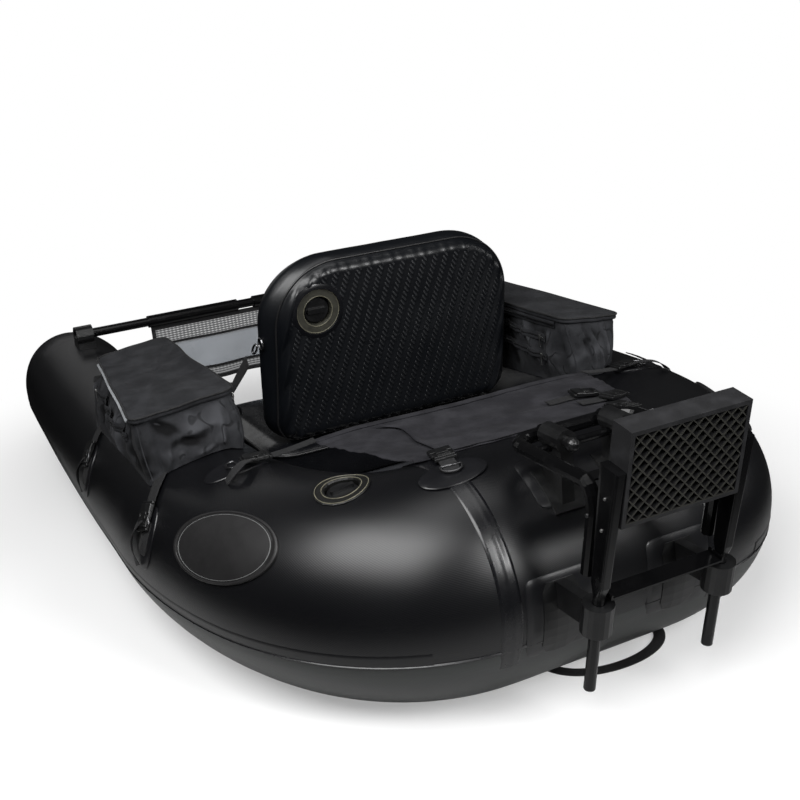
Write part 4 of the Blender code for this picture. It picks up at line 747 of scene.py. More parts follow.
def makeBackrest():
    b = back
    t = b["thickness"]
    rows, uvs, marks = [], [], []

    def addRow(inset, depth, panel, stern):
        ring = backOutline(inset)
        rows.append([onBack(*settle(x, z, stern), depth(x, z)) for x, z in ring])
        uvs.append(ring)
        marks.append([panel] * len(ring))

    def addFace(insets, side, depth, stern):
        for inset in insets:
            panel = min(1.0, max(0.0, (inset - b["border"]) / b["panelFade"]))
            shift = b[side] * (1 - inset / b["middle"])
            addRow(inset + shift, lambda x, z: depth(backFaceHeight(x, z, inset)), panel, stern)

    insets = [b["deepest"] - b["insetStep"] * k for k in range(b["insetCount"])] + [b["firstInset"]]
    addFace(insets, "sternInset", lambda height: height - t, 1.0)
    for k in range(b["wallRows"] + 1):
        u = k / b["wallRows"]
        inset = (b["sternInset"] + b["wallTuck"]) * max(0.0, 1 - u / b["wallSternShare"]) ** 2
        bowShare = max(0.0, (u - b["wallBowFrom"]) / (1 - b["wallBowFrom"]))
        inset += (b["bowInset"] + b["wallTuck"]) * bowShare ** 2
        depth = -t + b["seamDepth"] + (t - 2 * b["seamDepth"]) * u
        addRow(inset, lambda x, z: depth + b["wallSoftness"] * noise.noise(Vector((x * 30, z * 30, k * 0.4))),
               0.0, (1 - u) ** 1.5)
    addFace(insets[::-1], "bowInset", lambda height: -height, 0.0)
    piece = addNet("backrestPad", rows, "quilt", "folding_back", ring=True, caps=("start", "end"), sharp=70,
                   marks=marks)
    # The quilt's map is the flat outline itself
    uv = np.array(uvs)
    layer = piece.data.uv_layers["cloth"].data
    for loop in piece.data.loops:
        i, k = divmod(loop.vertex_index, uv.shape[1])
        layer[loop.index].uv = uv[i, k]
    valve = onBack(b["valveX"] - b["x"], b["valveUp"], -t)
    cutHole(piece, valve, -backBow, b["valveRadius"])
    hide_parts("backrest")
    for name, inset, depth, stern in (("backPipingStern", b["sternInset"] - 0.0005, b["seamDepth"] - t, 1.0),
                                      ("backPipingBow", b["bowInset"], -b["seamDepth"], 0.0)):
        path = [onBack(*settle(x, z, stern), depth) for x, z in backOutline(inset)]
        addTube(name, path, b["pipingRadius"], "piping", "folding_back", closed=True)
    # Welded seat round the valve, and the two lines of its ring
    rows = [circle(valve + backBow * rise, alongX, backUp, radius, 64) for radius, rise in b["valveSeat"]]
    addNet("backValveSeat", rows, "pad", "folding_back", ring=True, sharp=60)
    for k, radius in enumerate(b["valveLines"]):
        path = circle(valve + backBow * b["valveLineDepth"], alongX, backUp, radius, 64)
        addTube("backValveLine_%d" % k, path, b["valveLineRadius"], "oliveLine", "folding_back", closed=True,
                sideCount=6)


# Seat: a low cushion with four sewn channels
seat = {"halfX": 0.262, "backY": 0.555, "frontY": 0.925, "baseZ": 0.1503, "height": 0.085, "crown": 0.008,
        "corner": 0.06, "channels": 4, "channelDepth": 0.008, "edgeDrop": 0.012, "edgeWidth": 0.035,
        "wrinkle": 0.0012, "bulge": 0.0035, "piping": 0.003, "baseInsets": (0.12, 0.06, 0.02, 0.006),
        "topInset": 0.001, "insetStep": 0.0048, "wallRows": 12, "topRows": 38, "baseLift": 0.0005,
        "crownWidth": 0.1, "channelFade": 0.03, "wrinkleFade": 0.02, "pipingInset": 0.0005,
        "pipingDrop": 0.011}


def seatTop(x, y, inset):
    s = seat
    edge = -s["edgeDrop"] * max(0.0, 1 - inset / s["edgeWidth"]) ** 2
    wave = 0.5 + 0.5 * math.cos(2 * math.pi * s["channels"] * x / (2 * s["halfX"]))
    channel = -s["channelDepth"] * wave ** 10 * min(1.0, inset / s["channelFade"])
    wrinkle = s["wrinkle"] * noise.noise(Vector((x * 25, y * 12, 9))) * min(1.0, inset / s["wrinkleFade"])
    return s["height"] + s["crown"] * min(1.0, inset / s["crownWidth"]) + edge + channel + wrinkle


def makeSeat():
    s = seat
    halfY = (s["frontY"] - s["backY"]) / 2
    middle = Vector((0, (s["frontY"] + s["backY"]) / 2, s["baseZ"]))

    def seatRing(inset, height):
        ring = slabOutline(s["halfX"], -halfY, halfY, s["corner"], s["corner"], inset)
        return [middle + Vector((x, y, height(x, y) if callable(height) else height)) for x, y in ring]

    rows = [seatRing(inset, s["baseLift"]) for inset in s["baseInsets"]]
    for k in range(1, s["wallRows"]):
        share = k / s["wallRows"]
        inset = s["bulge"] * (1 - math.sin(math.pi * share))
        rows.append(seatRing(inset, (s["height"] - s["edgeDrop"]) * share))
    for k in range(s["topRows"]):
        inset = s["topInset"] + s["insetStep"] * k
        rows.append(seatRing(inset, lambda x, y: seatTop(x, y, inset)))
    piece = addNet("seatPad", rows, "pad", ring=True, caps=("start", "end"), sharp=70)
    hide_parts("seat_cushion")
    path = seatRing(s["pipingInset"], s["height"] - s["pipingDrop"])
    addTube("seatPiping", path, s["piping"], "piping", closed=True)


# Floor between the legs, stretched to the inner walls
seatFloor = {"z": 0.150, "edgeZ": 0.148, "reach": 1.20, "sag": 0.004, "ripple": 0.0008, "overlap": 0.001,
             "thickness": 0.003, "rows": 60, "columns": 40}


def makeSeatFloor():
    f = seatFloor
    rows = []
    for k in range(f["rows"] + 1):
        centre, outward, _, radius = hullFrame(f["reach"] * (k / f["rows"]))
        reach = math.sqrt(max(0.0, radius ** 2 - (f["edgeZ"] - centre.z) ** 2))
        inner = centre - outward * (reach - f["overlap"])
        row = []
        for n in range(f["columns"] + 1):
            u = 2 * n / f["columns"] - 1
            sag = -f["sag"] * (1 - u * u) * math.sin(math.pi * min(1, k / f["rows"]))
            ripple = f["ripple"] * noise.noise(Vector((u * 6, k * 0.25, 1)))
            row.append(Vector((-inner.x * u, inner.y, f["z"] + sag + ripple)))
        rows.append(row)
    piece = clothNet("seatFloor", rows, f["thickness"], "floorNylon", sharp=45)
    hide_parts("seat_floor")


# Cloth with an underside: the net of its top, and the same net lower by its thickness
def clothNet(name, grid, thickness, finish, sharp=80):
    rows = [row + [p - upZ * thickness for p in reversed(row)] for row in grid]
    return addNet(name, rows, finish, ring=True, caps=("start", "end"), sharp=sharp)


makeBackrest()
makeSeat()
makeSeatFloor()
print("seat ready")


# Flat webbing along a path: points, the ways that its face looks, its width and its thickness
def addRibbon(name, points, normals, width, thickness, finish="webbing", body="hull"):
    half, t = width / 2, thickness
    side = ((-half, 0.2 * t), (-half, 0.8 * t), (-half + t * 0.6, t), (-half / 2, t), (0, t), (half / 2, t),
            (half - t * 0.6, t), (half, 0.8 * t), (half, 0.2 * t), (half - t * 0.6, 0), (0, 0),
            (-half + t * 0.6, 0))
    rows = []
    for k, point in enumerate(points):
        way = (points[min(k + 1, len(points) - 1)] - points[max(k - 1, 0)]).normalized()
        normal = (normals[k] - way * normals[k].dot(way)).normalized()
        wide = way.cross(normal).normalized()
        rows.append([point + wide * x + normal * y for x, y in side])
    return addNet(name, rows, finish, body, ring=True, caps=("start", "end"), sharp=60)


def addBoxes(name, boxes, axes, finish, body="hull", bevel=0.0012):
    bm = bmesh.new()
    origin, x, y, z = axes
    turn = Matrix((x, y, z)).transposed().to_4x4()
    for (cx, cy, cz), (sx, sy, sz) in boxes:
        made = bmesh.ops.create_cube(bm, size=1)
        local = Matrix.Translation((cx, cy, cz)) @ Matrix.Diagonal((sx, sy, sz, 1))
        bmesh.ops.transform(bm, matrix=local, verts=made["verts"])
        edges = {edge for vert in made["verts"] for edge in vert.link_edges}
        limit = min(bevel, 0.45 * min(sx, sy, sz))
        bmesh.ops.bevel(bm, geom=list(edges), offset=limit, segments=3, profile=0.7, affect="EDGES")
    place = Matrix.Translation(origin - Vector((0, originY, 0)))
    bmesh.ops.transform(bm, matrix=place @ turn, verts=bm.verts)
    mesh = bpy.data.meshes.new(name)
    bm.to_mesh(mesh)
    bm.free()
    mesh.uv_layers.new(name="cloth")
    return addMesh(name, mesh, finish, body, 50)


# Side-release buckle: two moulded halves on the webbing, with ribs and side prongs
def addBuckle(name, centre, way, normal, width=0.033, body="hull"):
    normal = (normal - way * normal.dot(way)).normalized()
    wide = way.cross(normal).normalized()
    w = width
    prong = (w * 0.1, 0.020, 0.006)
    boxes = [((0, -0.012, 0.004), (w, 0.018, 0.008)), ((0, 0.011, 0.0038), (w * 0.92, 0.020, 0.0072)),
             ((0, 0.0235, 0.003), (w, 0.005, 0.005)), ((0, -0.0235, 0.003), (w, 0.005, 0.005)),
             ((-w * 0.46, 0.002, 0.004), prong), ((w * 0.46, 0.002, 0.004), prong),
             ((0, 0.0, 0.0078), (w * 0.5, 0.012, 0.0018)), ((0, 0.014, 0.0078), (w * 0.6, 0.002, 0.0014)),
             ((0, 0.018, 0.0076), (w * 0.6, 0.002, 0.0014))]
    return addBoxes(name, boxes, (centre, wide, way, normal), "plastic", body, bevel=0.0014)


# D-ring: round on one side and flat on the other
def addRing(name, centre, way, normal, halfWidth=0.015, reach=0.014, wire=0.0019, lift=0.003):
    wide = way.cross(normal).normalized()
    path = []
    for a in [2 * math.pi * k / 40 for k in range(40)]:
        aside, ahead = halfWidth * math.cos(a), reach * max(math.sin(a), -0.35)
        path.append(centre + wide * aside + way * ahead + normal * lift)
    return addTube(name, path, wire, "darkSteel", closed=True, sideCount=8)


# Straps of the saddle bags: webbing from under the bag to a buckle, and on to a ring on a welded oval patch.
# Angles are from the hull's crown, in degrees or, where they end in Turn, in radians
strapPatch = {"halfX": 0.0575, "halfY": 0.031, "height": 0.0022}
bagStrap = {"ys": {"rear": 0.3838, "front": 0.7965}, "topAngle": 33, "tuckAngle": 6, "buckleAngle": 57,
            "patchAngle": 69, "endTurn": 0.05, "ringTurn": 0.20, "slant": 0.045, "width": 0.025,
            "thickness": 0.0019, "lift": 0.0022, "buckleLift": 0.0045, "ringUp": 0.026, "ringLift": 0.004,
            "tab": (0.030, 0.016, 40, 5), "tabRows": ((1.0, 0.0018), (1.0, 0.0036)), "tabHeight": 0.0042,
            "tailTurn": 0.02, "tailReach": 0.54, "tailWidth": 0.020, "tailThickness": 0.0015,
            "tailLift": 0.006, "tailArch": 0.007, "tailRootLift": 0.002, "tailAside": 0.006,
            "tailSwing": 0.014}


def patchOval():
    return oval(strapPatch["halfX"], strapPatch["halfY"])


def makeBagStrap(tag, sign, y):
    s = bagStrap
    station = stationAt(y)
    top, foot = math.radians(s["topAngle"]), math.radians(s["patchAngle"])

    def at(angle, lift):
        u = (angle - top) / (foot + s["endTurn"] - top)
        return onHull(-sign * (station + s["slant"] * max(0, 1 - u) ** 2), angle, lift)

    spot, normal, down = skinSpot(-sign * station, s["patchAngle"])
    patch = skinPlate("strapPatch_" + tag, spot, normal, down, patchOval(), flatProfile(strapPatch["height"]))
    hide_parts("bag_strap_" + tag)
    tabRows = s["tabRows"] + tuple((share, s["tabHeight"]) for share in (0.95, 0.7, 0.3, 0.05))
    skinPlate("strapTab_" + tag, spot, normal, down, oval(*s["tab"]), tabRows, "webbing")
    addRing("strapRing_" + tag, spot + normal * s["ringLift"] - down * s["ringUp"], -down, normal)
    start, end = top - math.radians(s["tuckAngle"]), foot - s["ringTurn"]
    points = [at(start + (end - start) * k / 30, s["lift"] * (1 + math.sin(math.pi * k / 30)))
              for k in range(31)]
    addRibbon("strapWeb_" + tag, points, skinNormals(points), s["width"], s["thickness"])
    middle = math.radians(s["buckleAngle"])
    point = at(middle, s["buckleLift"])
    way = (at(middle + 0.02, s["buckleLift"]) - point).normalized()
    addBuckle("strapBuckle_" + tag, point, way, snapToHull(point)[1])
    # The tail hangs loose beside the patch
    tail = []
    for k in range(26):
        u = k / 25
        lift = s["tailLift"] + s["tailArch"] * math.sin(math.pi * u) ** 1.2 + s["tailRootLift"] * (1 - u)
        offset = -sign * (s["tailAside"] + s["tailSwing"] * math.sin(math.pi * u * 0.9))
        tail.append(onHull(-sign * station + offset, middle - s["tailTurn"] + s["tailReach"] * u, lift))
    twist = [(n + Vector((0, 0.5 * math.sin(math.pi * k / 25), 0))).normalized()
             for k, n in enumerate(skinNormals(tail))]
    addRibbon("strapTail_" + tag, tail, twist, s["tailWidth"], s["tailThickness"])


# Stern straps, each on its own oval patch
sternStrap = {"patch": (0.188, -0.028), "start": (0.165, 0.064), "patchLift": 0.0018, "lift": 0.0085,
              "drop": 0.0040, "width": 0.025, "thickness": 0.0019, "buckle": 0.036, "ring": (0.017, 0.013)}


def makeSternStrap(side, sign):
    s = sternStrap
    (x, y), (startX, startY) = s["patch"], s["start"]
    middle = Vector((sign * x, y, 2 * hull["sternRadius"]))
    start = Vector((sign * startX, startY, 2 * hull["sternRadius"]))
    skin, normal = snapToHull(middle)
    profile = flatProfile(strapPatch["height"], s["patchLift"])
    patch = skinPlate("sternPatch_" + side, skin, normal, alongX, patchOval(), profile)
    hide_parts("stern_strap_" + side)
    placed = [snapToHull(start.lerp(middle, k / 24), s["lift"] - s["drop"] * (k / 24)) for k in range(25)]
    points, normals = [p for p, _ in placed], [n for _, n in placed]
    addRibbon("sternWeb_" + side, points, normals, s["width"], s["thickness"])
    addBuckle("sternBuckle_" + side, points[9] - normals[9] * 0.001, (points[10] - points[8]).normalized(),
              normals[9], s["buckle"])
    addRing("sternRing_" + side, points[-3], (points[-1] - points[-3]).normalized(), normals[-3], *s["ring"])


# The cover's corner straps: webbing from a patch on each quarter to the cover's corner
coverStrap = {"station": 0.578, "angle": 5, "corner": (0.279, 0.287, 0.3515), "lift": 0.0045, "back": 0.012,
              "sag": 0.004, "width": 0.022, "thickness": 0.0018, "buckle": 0.030, "tailLength": 0.07,
              "tailSwing": 0.045, "tailWidth": 0.018, "tailThickness": 0.0015, "tailLift": 0.004,
              "tailArch": 0.012, "ringLift": 0.003, "buckleLift": 0.001}


def makeCoverStrap(side, sign):
    s = coverStrap
    skin, normal = snapToHull(onHull(-sign * s["station"], math.radians(s["angle"])))
    along = (alongX * sign - normal * normal.x * sign).normalized()
    profile = flatProfile(strapPatch["height"])
    patch = skinPlate("coverPatch_" + side, skin, normal, along, patchOval(), profile)
    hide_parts("cover_patch_" + side)
    x, y, z = s["corner"]
    corner = Vector((sign * x, y, z))
    start = skin + normal * s["lift"] - along * s["back"]
    points = [start.lerp(corner, k / 20) - upZ * (s["sag"] * math.sin(math.pi * k / 20)) for k in range(21)]
    web = addRibbon("coverWeb_" + side, points, [normal.lerp(upZ, k / 20) for k in range(21)], s["width"],
                    s["thickness"])
    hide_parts("cover_strap_" + side)
    way = (points[5] - points[3]).normalized()
    addBuckle("coverBuckle_" + side, points[4] + normal * s["buckleLift"], way, normal, s["buckle"])
    addRing("coverRing_" + side, skin + normal * s["ringLift"], along, normal)
    tail = []
    for k in range(22):
        u = k / 21
        swing = s["tailSwing"] * math.sin(math.pi * u * 0.55)
        flat = points[4] + along * (s["tailLength"] * u) - Vector((0, swing, 0))
        tail.append(snapToHull(flat, s["tailLift"] + s["tailArch"] * math.sin(math.pi * u))[0])
    addRibbon("coverTail_" + side, tail, skinNormals(tail), s["tailWidth"], s["tailThickness"])


# Side straps of the backrest: snap hook, webbing with an adjuster, and a sewn foot on the leg
backStrap = {"up": 0.205, "aside": 0.0095, "footY": 0.81, "footAngle": -62, "footShare": 0.25, "footCount": 7,
             "footLift": 0.0025, "knee": 0.012, "startShare": 0.10, "width": 0.024, "thickness": 0.0019,
             "adjuster": 0.030, "hookReach": 0.015, "hookHalfLength": 0.013, "hookHalfWidth": 0.006,
             "hookWire": 0.0022}


def makeBackStrap(side, sign):
    s = backStrap
    top = onBack(sign * (back["halfX"] + s["aside"]), s["up"], -back["thickness"] / 2)
    station = -sign * stationAt(s["footY"])
    angles = [math.radians(s["footAngle"]) * (1 + s["footShare"] * k / 6) for k in range(s["footCount"])]
    feet = [onHull(station, a, s["footLift"]) for a in angles]
    knee = feet[0] + (feet[0] - feet[1]).normalized() * s["knee"]
    points, normals = [], []
    for k in range(27):
        u = s["startShare"] + (1 - s["startShare"]) * k / 27
        points.append(top * (1 - u) ** 2 + knee * 2 * (1 - u) * u + feet[0] * u * u)
        normals.append((alongX * (sign * (1 - u)) + snapToHull(feet[0])[1] * u).normalized())
    points += feet
    normals += skinNormals(feet)
    web = addRibbon("backWeb_" + side, points, normals, s["width"], s["thickness"], body=None)
    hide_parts("backrest_strap_" + side)
    adjuster = addBuckle("backAdjuster_" + side, points[8], (points[9] - points[7]).normalized(), normals[8],
                         s["adjuster"], None)
    for piece in (web, adjuster):
        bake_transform(piece)
    way = (points[0] - top).normalized()
    across = way.cross(alongX * sign).normalized() * s["hookHalfWidth"]
    hook = circle(top + way * s["hookReach"], across, way * s["hookHalfLength"], 1, 32)
    addTube("backHook_" + side, hook, s["hookWire"], "darkSteel", "folding_back", closed=True, sideCount=8)


# The flap that joins the backrest to the seat, built flat
hingeFlap = {"halfX": 0.2, "halfY": 0.037, "y": 0.6275, "z": 0.2451, "halfThickness": 0.001,
             "bendBack": 0.022, "bendFront": 0.006}


def makeHingeFlap():
    f = hingeFlap
    xs = [f["halfX"] * (n / 12 - 1) for n in range(25)]
    edge = [(x, -f["halfThickness"]) for x in xs] + [(-x, f["halfThickness"]) for x in xs]
    ys = [f["y"] + f["halfY"] * (k / 4 - 1) for k in range(9)]
    rows = [[Vector((x, y, f["z"] + rise)) for x, rise in edge] for y in ys]
    flap = addNet("hingeFlap", rows, "webbing", None, ring=True, caps=("start", "end"), sharp=60)
    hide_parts("hinge_flap")
    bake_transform(flap)


for side, sign in sides.items():
    for end, y in bagStrap["ys"].items():
        makeBagStrap(side + "_" + end, sign, y)
for side, sign in sides.items():
    makeSternStrap(side, sign)
    makeCoverStrap(side, sign)
for side, sign in sides.items():
    makeBackStrap(side, sign)
makeHingeFlap()
print("straps ready")


# Saddle bags: corners run rear outer, front outer, front inner, rear inner, and x is outward from the centre
# plane. A wall has the number of the corner before it: 0 is the outer, 1 the front, 2 the inner, 3 the rear
bags = {
    "port": {"top": ((0.545, 0.452, 0.393), (0.488, 0.896, 0.393),
                     (0.352, 0.893, 0.410), (0.357, 0.457, 0.410)),
             "foot": ((0.540, 0.405, 0.255), (0.532, 0.896, 0.250),
                      (0.345, 0.893, 0.285), (0.352, 0.388, 0.285)),
             "seed": 3, "bulges": (0.013, 0.013, 0.013, 0.013), "innerShare": 1},
    "starboard": {"top": ((0.417, 0.357, 0.416), (0.399, 0.800, 0.416),
                          (0.306, 0.800, 0.422), (0.306, 0.385, 0.422)),
                  "foot": ((0.395, 0.330, 0.275), (0.395, 0.800, 0.275),
                           (0.312, 0.800, 0.275), (0.312, 0.352, 0.275)),
                  "seed": 11, "bulges": (0.002, 0.013, 0.013, 0.013), "innerShare": 0.75},
    "corner": 0.028, "cornerPoints": 10, "sidePoints": (60, 32, 60, 32), "wall": 0.005, "cavityZ": 0.333,
    "footInset": 0.006, "floorInset": 0.007, "swings": (0.35, 0.35, 1.6, 0.35), "bend": 0.0035,
    "pullIn": 0.003, "rise": 0.0022, "slump": 0.042, "droop": 0.004, "levels": 26,
    "hullGap": 0.0018, "seam": 0.0013,
    "foldWidths": (0.44, 0.15, 0.44, 0.18), "foldHeight": 0.11, "foldDepth": 0.0125, "sagDepth": 0.012,
    "reach": 1.02, "reachSteps": 60, "touchDepth": -0.0022, "skinDepth": -0.0015, "footDepth": -0.02,
    "flatShare": 0.2, "lip": 0.0012, "floorRows": 6, "floorShares": (0.8, 0.5, 0.2),
}


# Closed outline through four corners, rounded: each point has its side and how far along that side it lies
def bagOutline(side, sign, share, grow):
    b, seed = bags, bags[side]["seed"]
    corners = []
    for foot, top in zip(b[side]["foot"], b[side]["top"]):
        x, y, z = [a + (c - a) * share for a, c in zip(foot, top)]
        corners.append(Vector((sign * x, y, z)))
    middle = sum(corners, Vector()) / 4
    grown = []
    for corner in corners:
        away = corner - middle
        grown.append(corner + Vector((math.copysign(1, away.x), math.copysign(1, away.y), 0)) * grow)
    points = []
    for k, corner in enumerate(grown):
        following = grown[(k + 1) % 4]
        before = corner + (grown[k - 1] - corner).normalized() * b["corner"]
        after = corner + (following - corner).normalized() * b["corner"]
        for n in range(b["cornerPoints"] + 1):
            u = n / b["cornerPoints"]
            points.append((before * (1 - u) ** 2 + corner * 2 * u * (1 - u) + after * u * u, k, 0.0))
        end = following + (corner - following).normalized() * b["corner"]
        aside = upZ.cross(end - after).normalized()
        for n in range(1, b["sidePoints"][k]):
            u = n / b["sidePoints"][k]
            arch = math.sin(math.pi * u)
            swing = arch * share * b["swings"][k]
            bend = b["bend"] * swing * math.sin(9 * u + k * 2 + seed) - b["pullIn"] * swing
            rise = b["rise"] * swing * math.sin(7 * u + k + seed)
            slump = -b["slump"] * (1 - share) * arch if k == 3 else 0
            points.append((after.lerp(end, u) + aside * bend + Vector((0, slump, rise)), k, u))
    return points


# Folds of the port bag's rear wall, (along, down, along, down, half width, height) for each
rearFolds = (
    (0.97, 0.06, 0.66, 0.40, 0.013, -1.1), (0.86, 0.46, 0.14, 0.34, 0.015, 1.0),
    (0.80, 0.62, 0.30, 0.56, 0.011, -0.9), (0.93, 0.98, 0.84, 0.52, 0.008, 0.8),
    (0.76, 0.98, 0.70, 0.66, 0.008, 0.6), (0.60, 0.92, 0.10, 0.76, 0.010, 0.7),
    (0.05, 0.12, 0.12, 0.92, 0.007, 0.9), (0.52, 0.04, 0.36, 0.28, 0.008, 0.5),
    (0.24, 0.96, 0.20, 0.60, 0.007, -0.6),
)


# The other walls have more or less upright folds, in and out by turns
def wallFolds(side, k):
    if side == "port" and k == 3:
        return rearFolds
    dice = random.Random(bags[side]["seed"] * 10 + k)
    folds = []
    for n in range(12 if k % 2 == 0 else 7):
        along, lean = dice.random(), dice.uniform(-0.16, 0.16)
        spots = (along, dice.uniform(0.0, 0.35), along + lean, dice.uniform(0.55, 1.0))
        folds.append((*spots, dice.uniform(0.007, 0.014), dice.uniform(0.5, 1.0) * (1 if n % 2 else -1)))
    return folds


# How far the slack cloth stands in or out (its folds, on broad sags and small crumples), and its painted
# shade and highlight
def clothFold(point, along, down, seed, folds, width):
    if not 0 < down < 1:
        return 0.0, 0.0
    window = math.sin(math.pi * down) ** 0.45
    base = noise.noise(Vector((point.x * 9, point.y * 9, point.z * 11 + seed)))
    crumple = noise.noise(Vector((point.x * 46, point.y * 46, point.z * 52 + seed)))
    total = 0.0
    for fromAlong, fromDown, toAlong, toDown, size, height in folds:
        px, pz = (along - fromAlong) * width, (down - fromDown) * bags["foldHeight"]
        vx, vz = (toAlong - fromAlong) * width, (toDown - fromDown) * bags["foldHeight"]
        share = min(1.0, max(0.0, (px * vx + pz * vz) / (vx * vx + vz * vz)))
        gap = math.hypot(px - vx * share, pz - vz * share)
        fade = 0.35 + 0.65 * math.sin(math.pi * (0.15 + 0.7 * share))
        total += height * math.exp(-(gap / size) ** 1.4) * fade
    # Painted light: a tone below zero darkens the cloth as painted shade, above zero pales it as painted
    # highlight
    tone = window * min(1.0, max(-1.0, total + 0.6 * base + 0.8 * crumple))
    sag = bags["sagDepth"] * (0.45 * base - 0.2 + 0.12 * crumple)
    return window * (sag + bags["foldDepth"] * total), tone


# One upright line of a bag's wall, from the rim down to the hull's skin
def wallColumn(side, high, low, k, along, normal, folds):
    b, bag, levels = bags, bags[side], bags["levels"]
    reaches = [b["reach"] * n / b["reachSteps"] for n in range(b["reachSteps"] + 1)]
    end = next((t for t in reaches if depthInHull(high.lerp(low, t)) > b["touchDepth"]), b["reach"])
    points, paintedFoldShades = [], []
    for n in range(levels + 1):
        down = n / levels
        point = high.lerp(low, end * down)
        shift, tone = clothFold(point, along, down, bag["seed"], folds, b["foldWidths"][k])
        shift += bag["bulges"][k] * math.sin(math.pi * down ** 1.15)
        if along > 0:
            point.z += b["droop"] * math.sin(2 * math.pi * along + bag["seed"]) * math.sin(math.pi * down)
        # The long walls start flat under the rim: the lid's edge and the zip's pull move over them
        if k % 2 == 0 and along > 0:
            shift *= min(1.0, down / b["flatShare"]) * (bag["innerShare"] if k == 2 else 1)
        moved = point + normal * shift
        depth = depthInHull(moved)
        if depth > b["skinDepth"] or (n == levels and depth > b["footDepth"]):
            moved = snapToHull(moved, b["hullGap"])[0]
        points.append(moved)
        paintedFoldShades.append(tone)
    return points, paintedFoldShades


# The open tub: its walls, and inside them the lining down to the floor
def makeTub(side, sign, rim, middle):
    b, bag = bags, bags[side]
    feet = bagOutline(side, sign, 0, -b["footInset"])
    ways = (Vector((sign, 0.12, 0)), Vector((0, 1, 0)), Vector((-sign, 0, 0)), Vector((0, -1, 0)))
    folds = [wallFolds(side, k) for k in range(4)]
    walls, paintedFoldShades = [], []
    for (high, k, along), (low, _, _) in zip(rim, feet):
        outward = Vector((high.x - middle.x, high.y - middle.y, 0)).normalized()
        points, shades = wallColumn(side, high, low, k, along, ways[k] if along > 0 else outward, folds[k])
        walls.append(points)
        paintedFoldShades.append(shades)
    rows = [list(row) for row in zip(*walls)][::-1]
    marks = [list(row) for row in zip(*paintedFoldShades)][::-1]
    inner = bagOutline(side, sign, 1, -b["wall"])
    floorShare = (b["cavityZ"] - bag["foot"][0][2]) / (bag["top"][0][2] - bag["foot"][0][2])
    floor = [Vector((p.x, p.y, b["cavityZ"]))
             for p, _, _ in bagOutline(side, sign, floorShare, -b["wall"] - b["floorInset"])]
    rows.append([(p + q) / 2 + upZ * b["lip"] for (p, _, _), (q, _, _) in zip(rim, inner)])
    steps = [n / b["floorRows"] for n in range(b["floorRows"] + 1)]
    rows += [[p.lerp(q, step) for (p, _, _), q in zip(inner, floor)] for step in steps]
    centre = Vector((middle.x, middle.y, b["cavityZ"]))
    rows += [[centre.lerp(q, share) for q in floor] for share in b["floorShares"]]
    marks += [[0.0] * len(walls)] * (len(rows) - len(marks))
    # The walls' marks carry the painted shade and painted highlight of their folds
    tub = addNet("saddleBag_" + side, rows, "nylon", ring=True, caps=("end",), sharp=80, marks=marks)
    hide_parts("bag_" + side)
    return walls


lid = {"grow": 0.0035, "rimInset": 0.009, "rise": 0.0115, "edgeDrop": 0.002, "edgeBulge": 0.0014,
       "edgeShares": (0.985, 0.96, 0.93), "shareStep": 0.055, "shareCount": 17, "firstShare": 0.9,
       "innerFrom": 0.12, "rimLift": 0.0012, "edgeLift": 0.001, "bumps": 0.0042,
       "crumples": 0.0016, "crease": 0.0022, "crown": 0.0035, "crownDrop": 0.003,
       "pipingGrow": 0.0045, "pipingDrop": 0.0012, "piping": 0.0021}


# Lid: a slack panel with a turned-down edge, which turns about the bag's outer edge
def makeLid(side, sign, middle):
    b, seed, rise = lid, bags[side]["seed"], lid["rise"]
    edge = [p for p, _, _ in bagOutline(side, sign, 1, b["grow"])]
    rim = [p for p, _, _ in bagOutline(side, sign, 1, -b["rimInset"])]
    rows = [[p + upZ * b["rimLift"] for p in rim], [p + upZ * b["edgeLift"] for p in edge]]
    for n in range(1, 5):
        bulge = b["edgeBulge"] * math.sin(math.pi * n / 5)
        rows.append([p + upZ * (rise - b["edgeDrop"]) * n / 5 + (p - middle).normalized() * bulge
                     for p in edge])
    shares = [b["firstShare"] - b["shareStep"] * n for n in range(b["shareCount"])]
    for share in (*b["edgeShares"], *shares):
        row = []
        inner = min(1.0, (1 - share) / b["innerFrom"])
        for p in edge:
            q = (middle + upZ * rise).lerp(p + upZ * rise, share)
            bumps = b["bumps"] * noise.noise(Vector((q.x * 9, q.y * 7, seed)))
            bumps += b["crumples"] * noise.noise(Vector((q.x * 30, q.y * 22, seed + 4)))
            ridge = abs(noise.noise(Vector((q.x * 10 + q.y * 6, q.y * 4 - q.x * 5, seed + 7))))
            height = bumps - b["crease"] * max(0, 1 - ridge * 6) + b["crown"] - b["crownDrop"] * inner
            row.append(q + upZ * (height * inner))
        rows.append(row)
    panel = addNet("bagLid_" + side, rows, "nylon", side + "_lid", ring=True, caps=("start", "end"), sharp=75)
    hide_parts("bag_lid_" + side)
    path = [p + upZ * (rise - b["pipingDrop"]) for p, _, _ in bagOutline(side, sign, 1, b["pipingGrow"])]
    addTube("lidPiping_" + side, path, b["piping"], "webbing", side + "_lid", closed=True, sideCount=8)


# The rim's zip runs along the front and inner edges only, since the lid turns about the outer one
zips = {"tapeRows": ((-0.0155, 0.0015), (-0.0150, 0.0032), (-0.0085, 0.0042), (-0.0015, 0.0040),
                     (-0.0008, 0.0018)),
        "tapeGrow": 0.001, "teethGrow": 0.0052, "teethDrop": 0.006, "teeth": 0.0017, "skipped": 8,
        "pockets": ((0, 8, 0.06, 0.94), (2, 7, 0.10, 0.95), (2, 14, 0.25, 0.95)), "pocketLift": 0.0042,
        "pocketTape": (0.016, 0.0014), "pocketTeeth": 0.0015, "pocketTeethLift": 0.0016,
        "clearDepth": -0.01, "pullLift": 0.004, "pullBevel": 0.0006,
        "pull": (((0, 0, 0), (0.006, 0.010, 0.0035)), ((0, -0.012, 0.0005), (0.004, 0.018, 0.0016)))}


def rimRun(side, sign, grow):
    return [p for p, k, _ in bagOutline(side, sign, 1, grow) if k in (1, 2)][zips["skipped"]:]


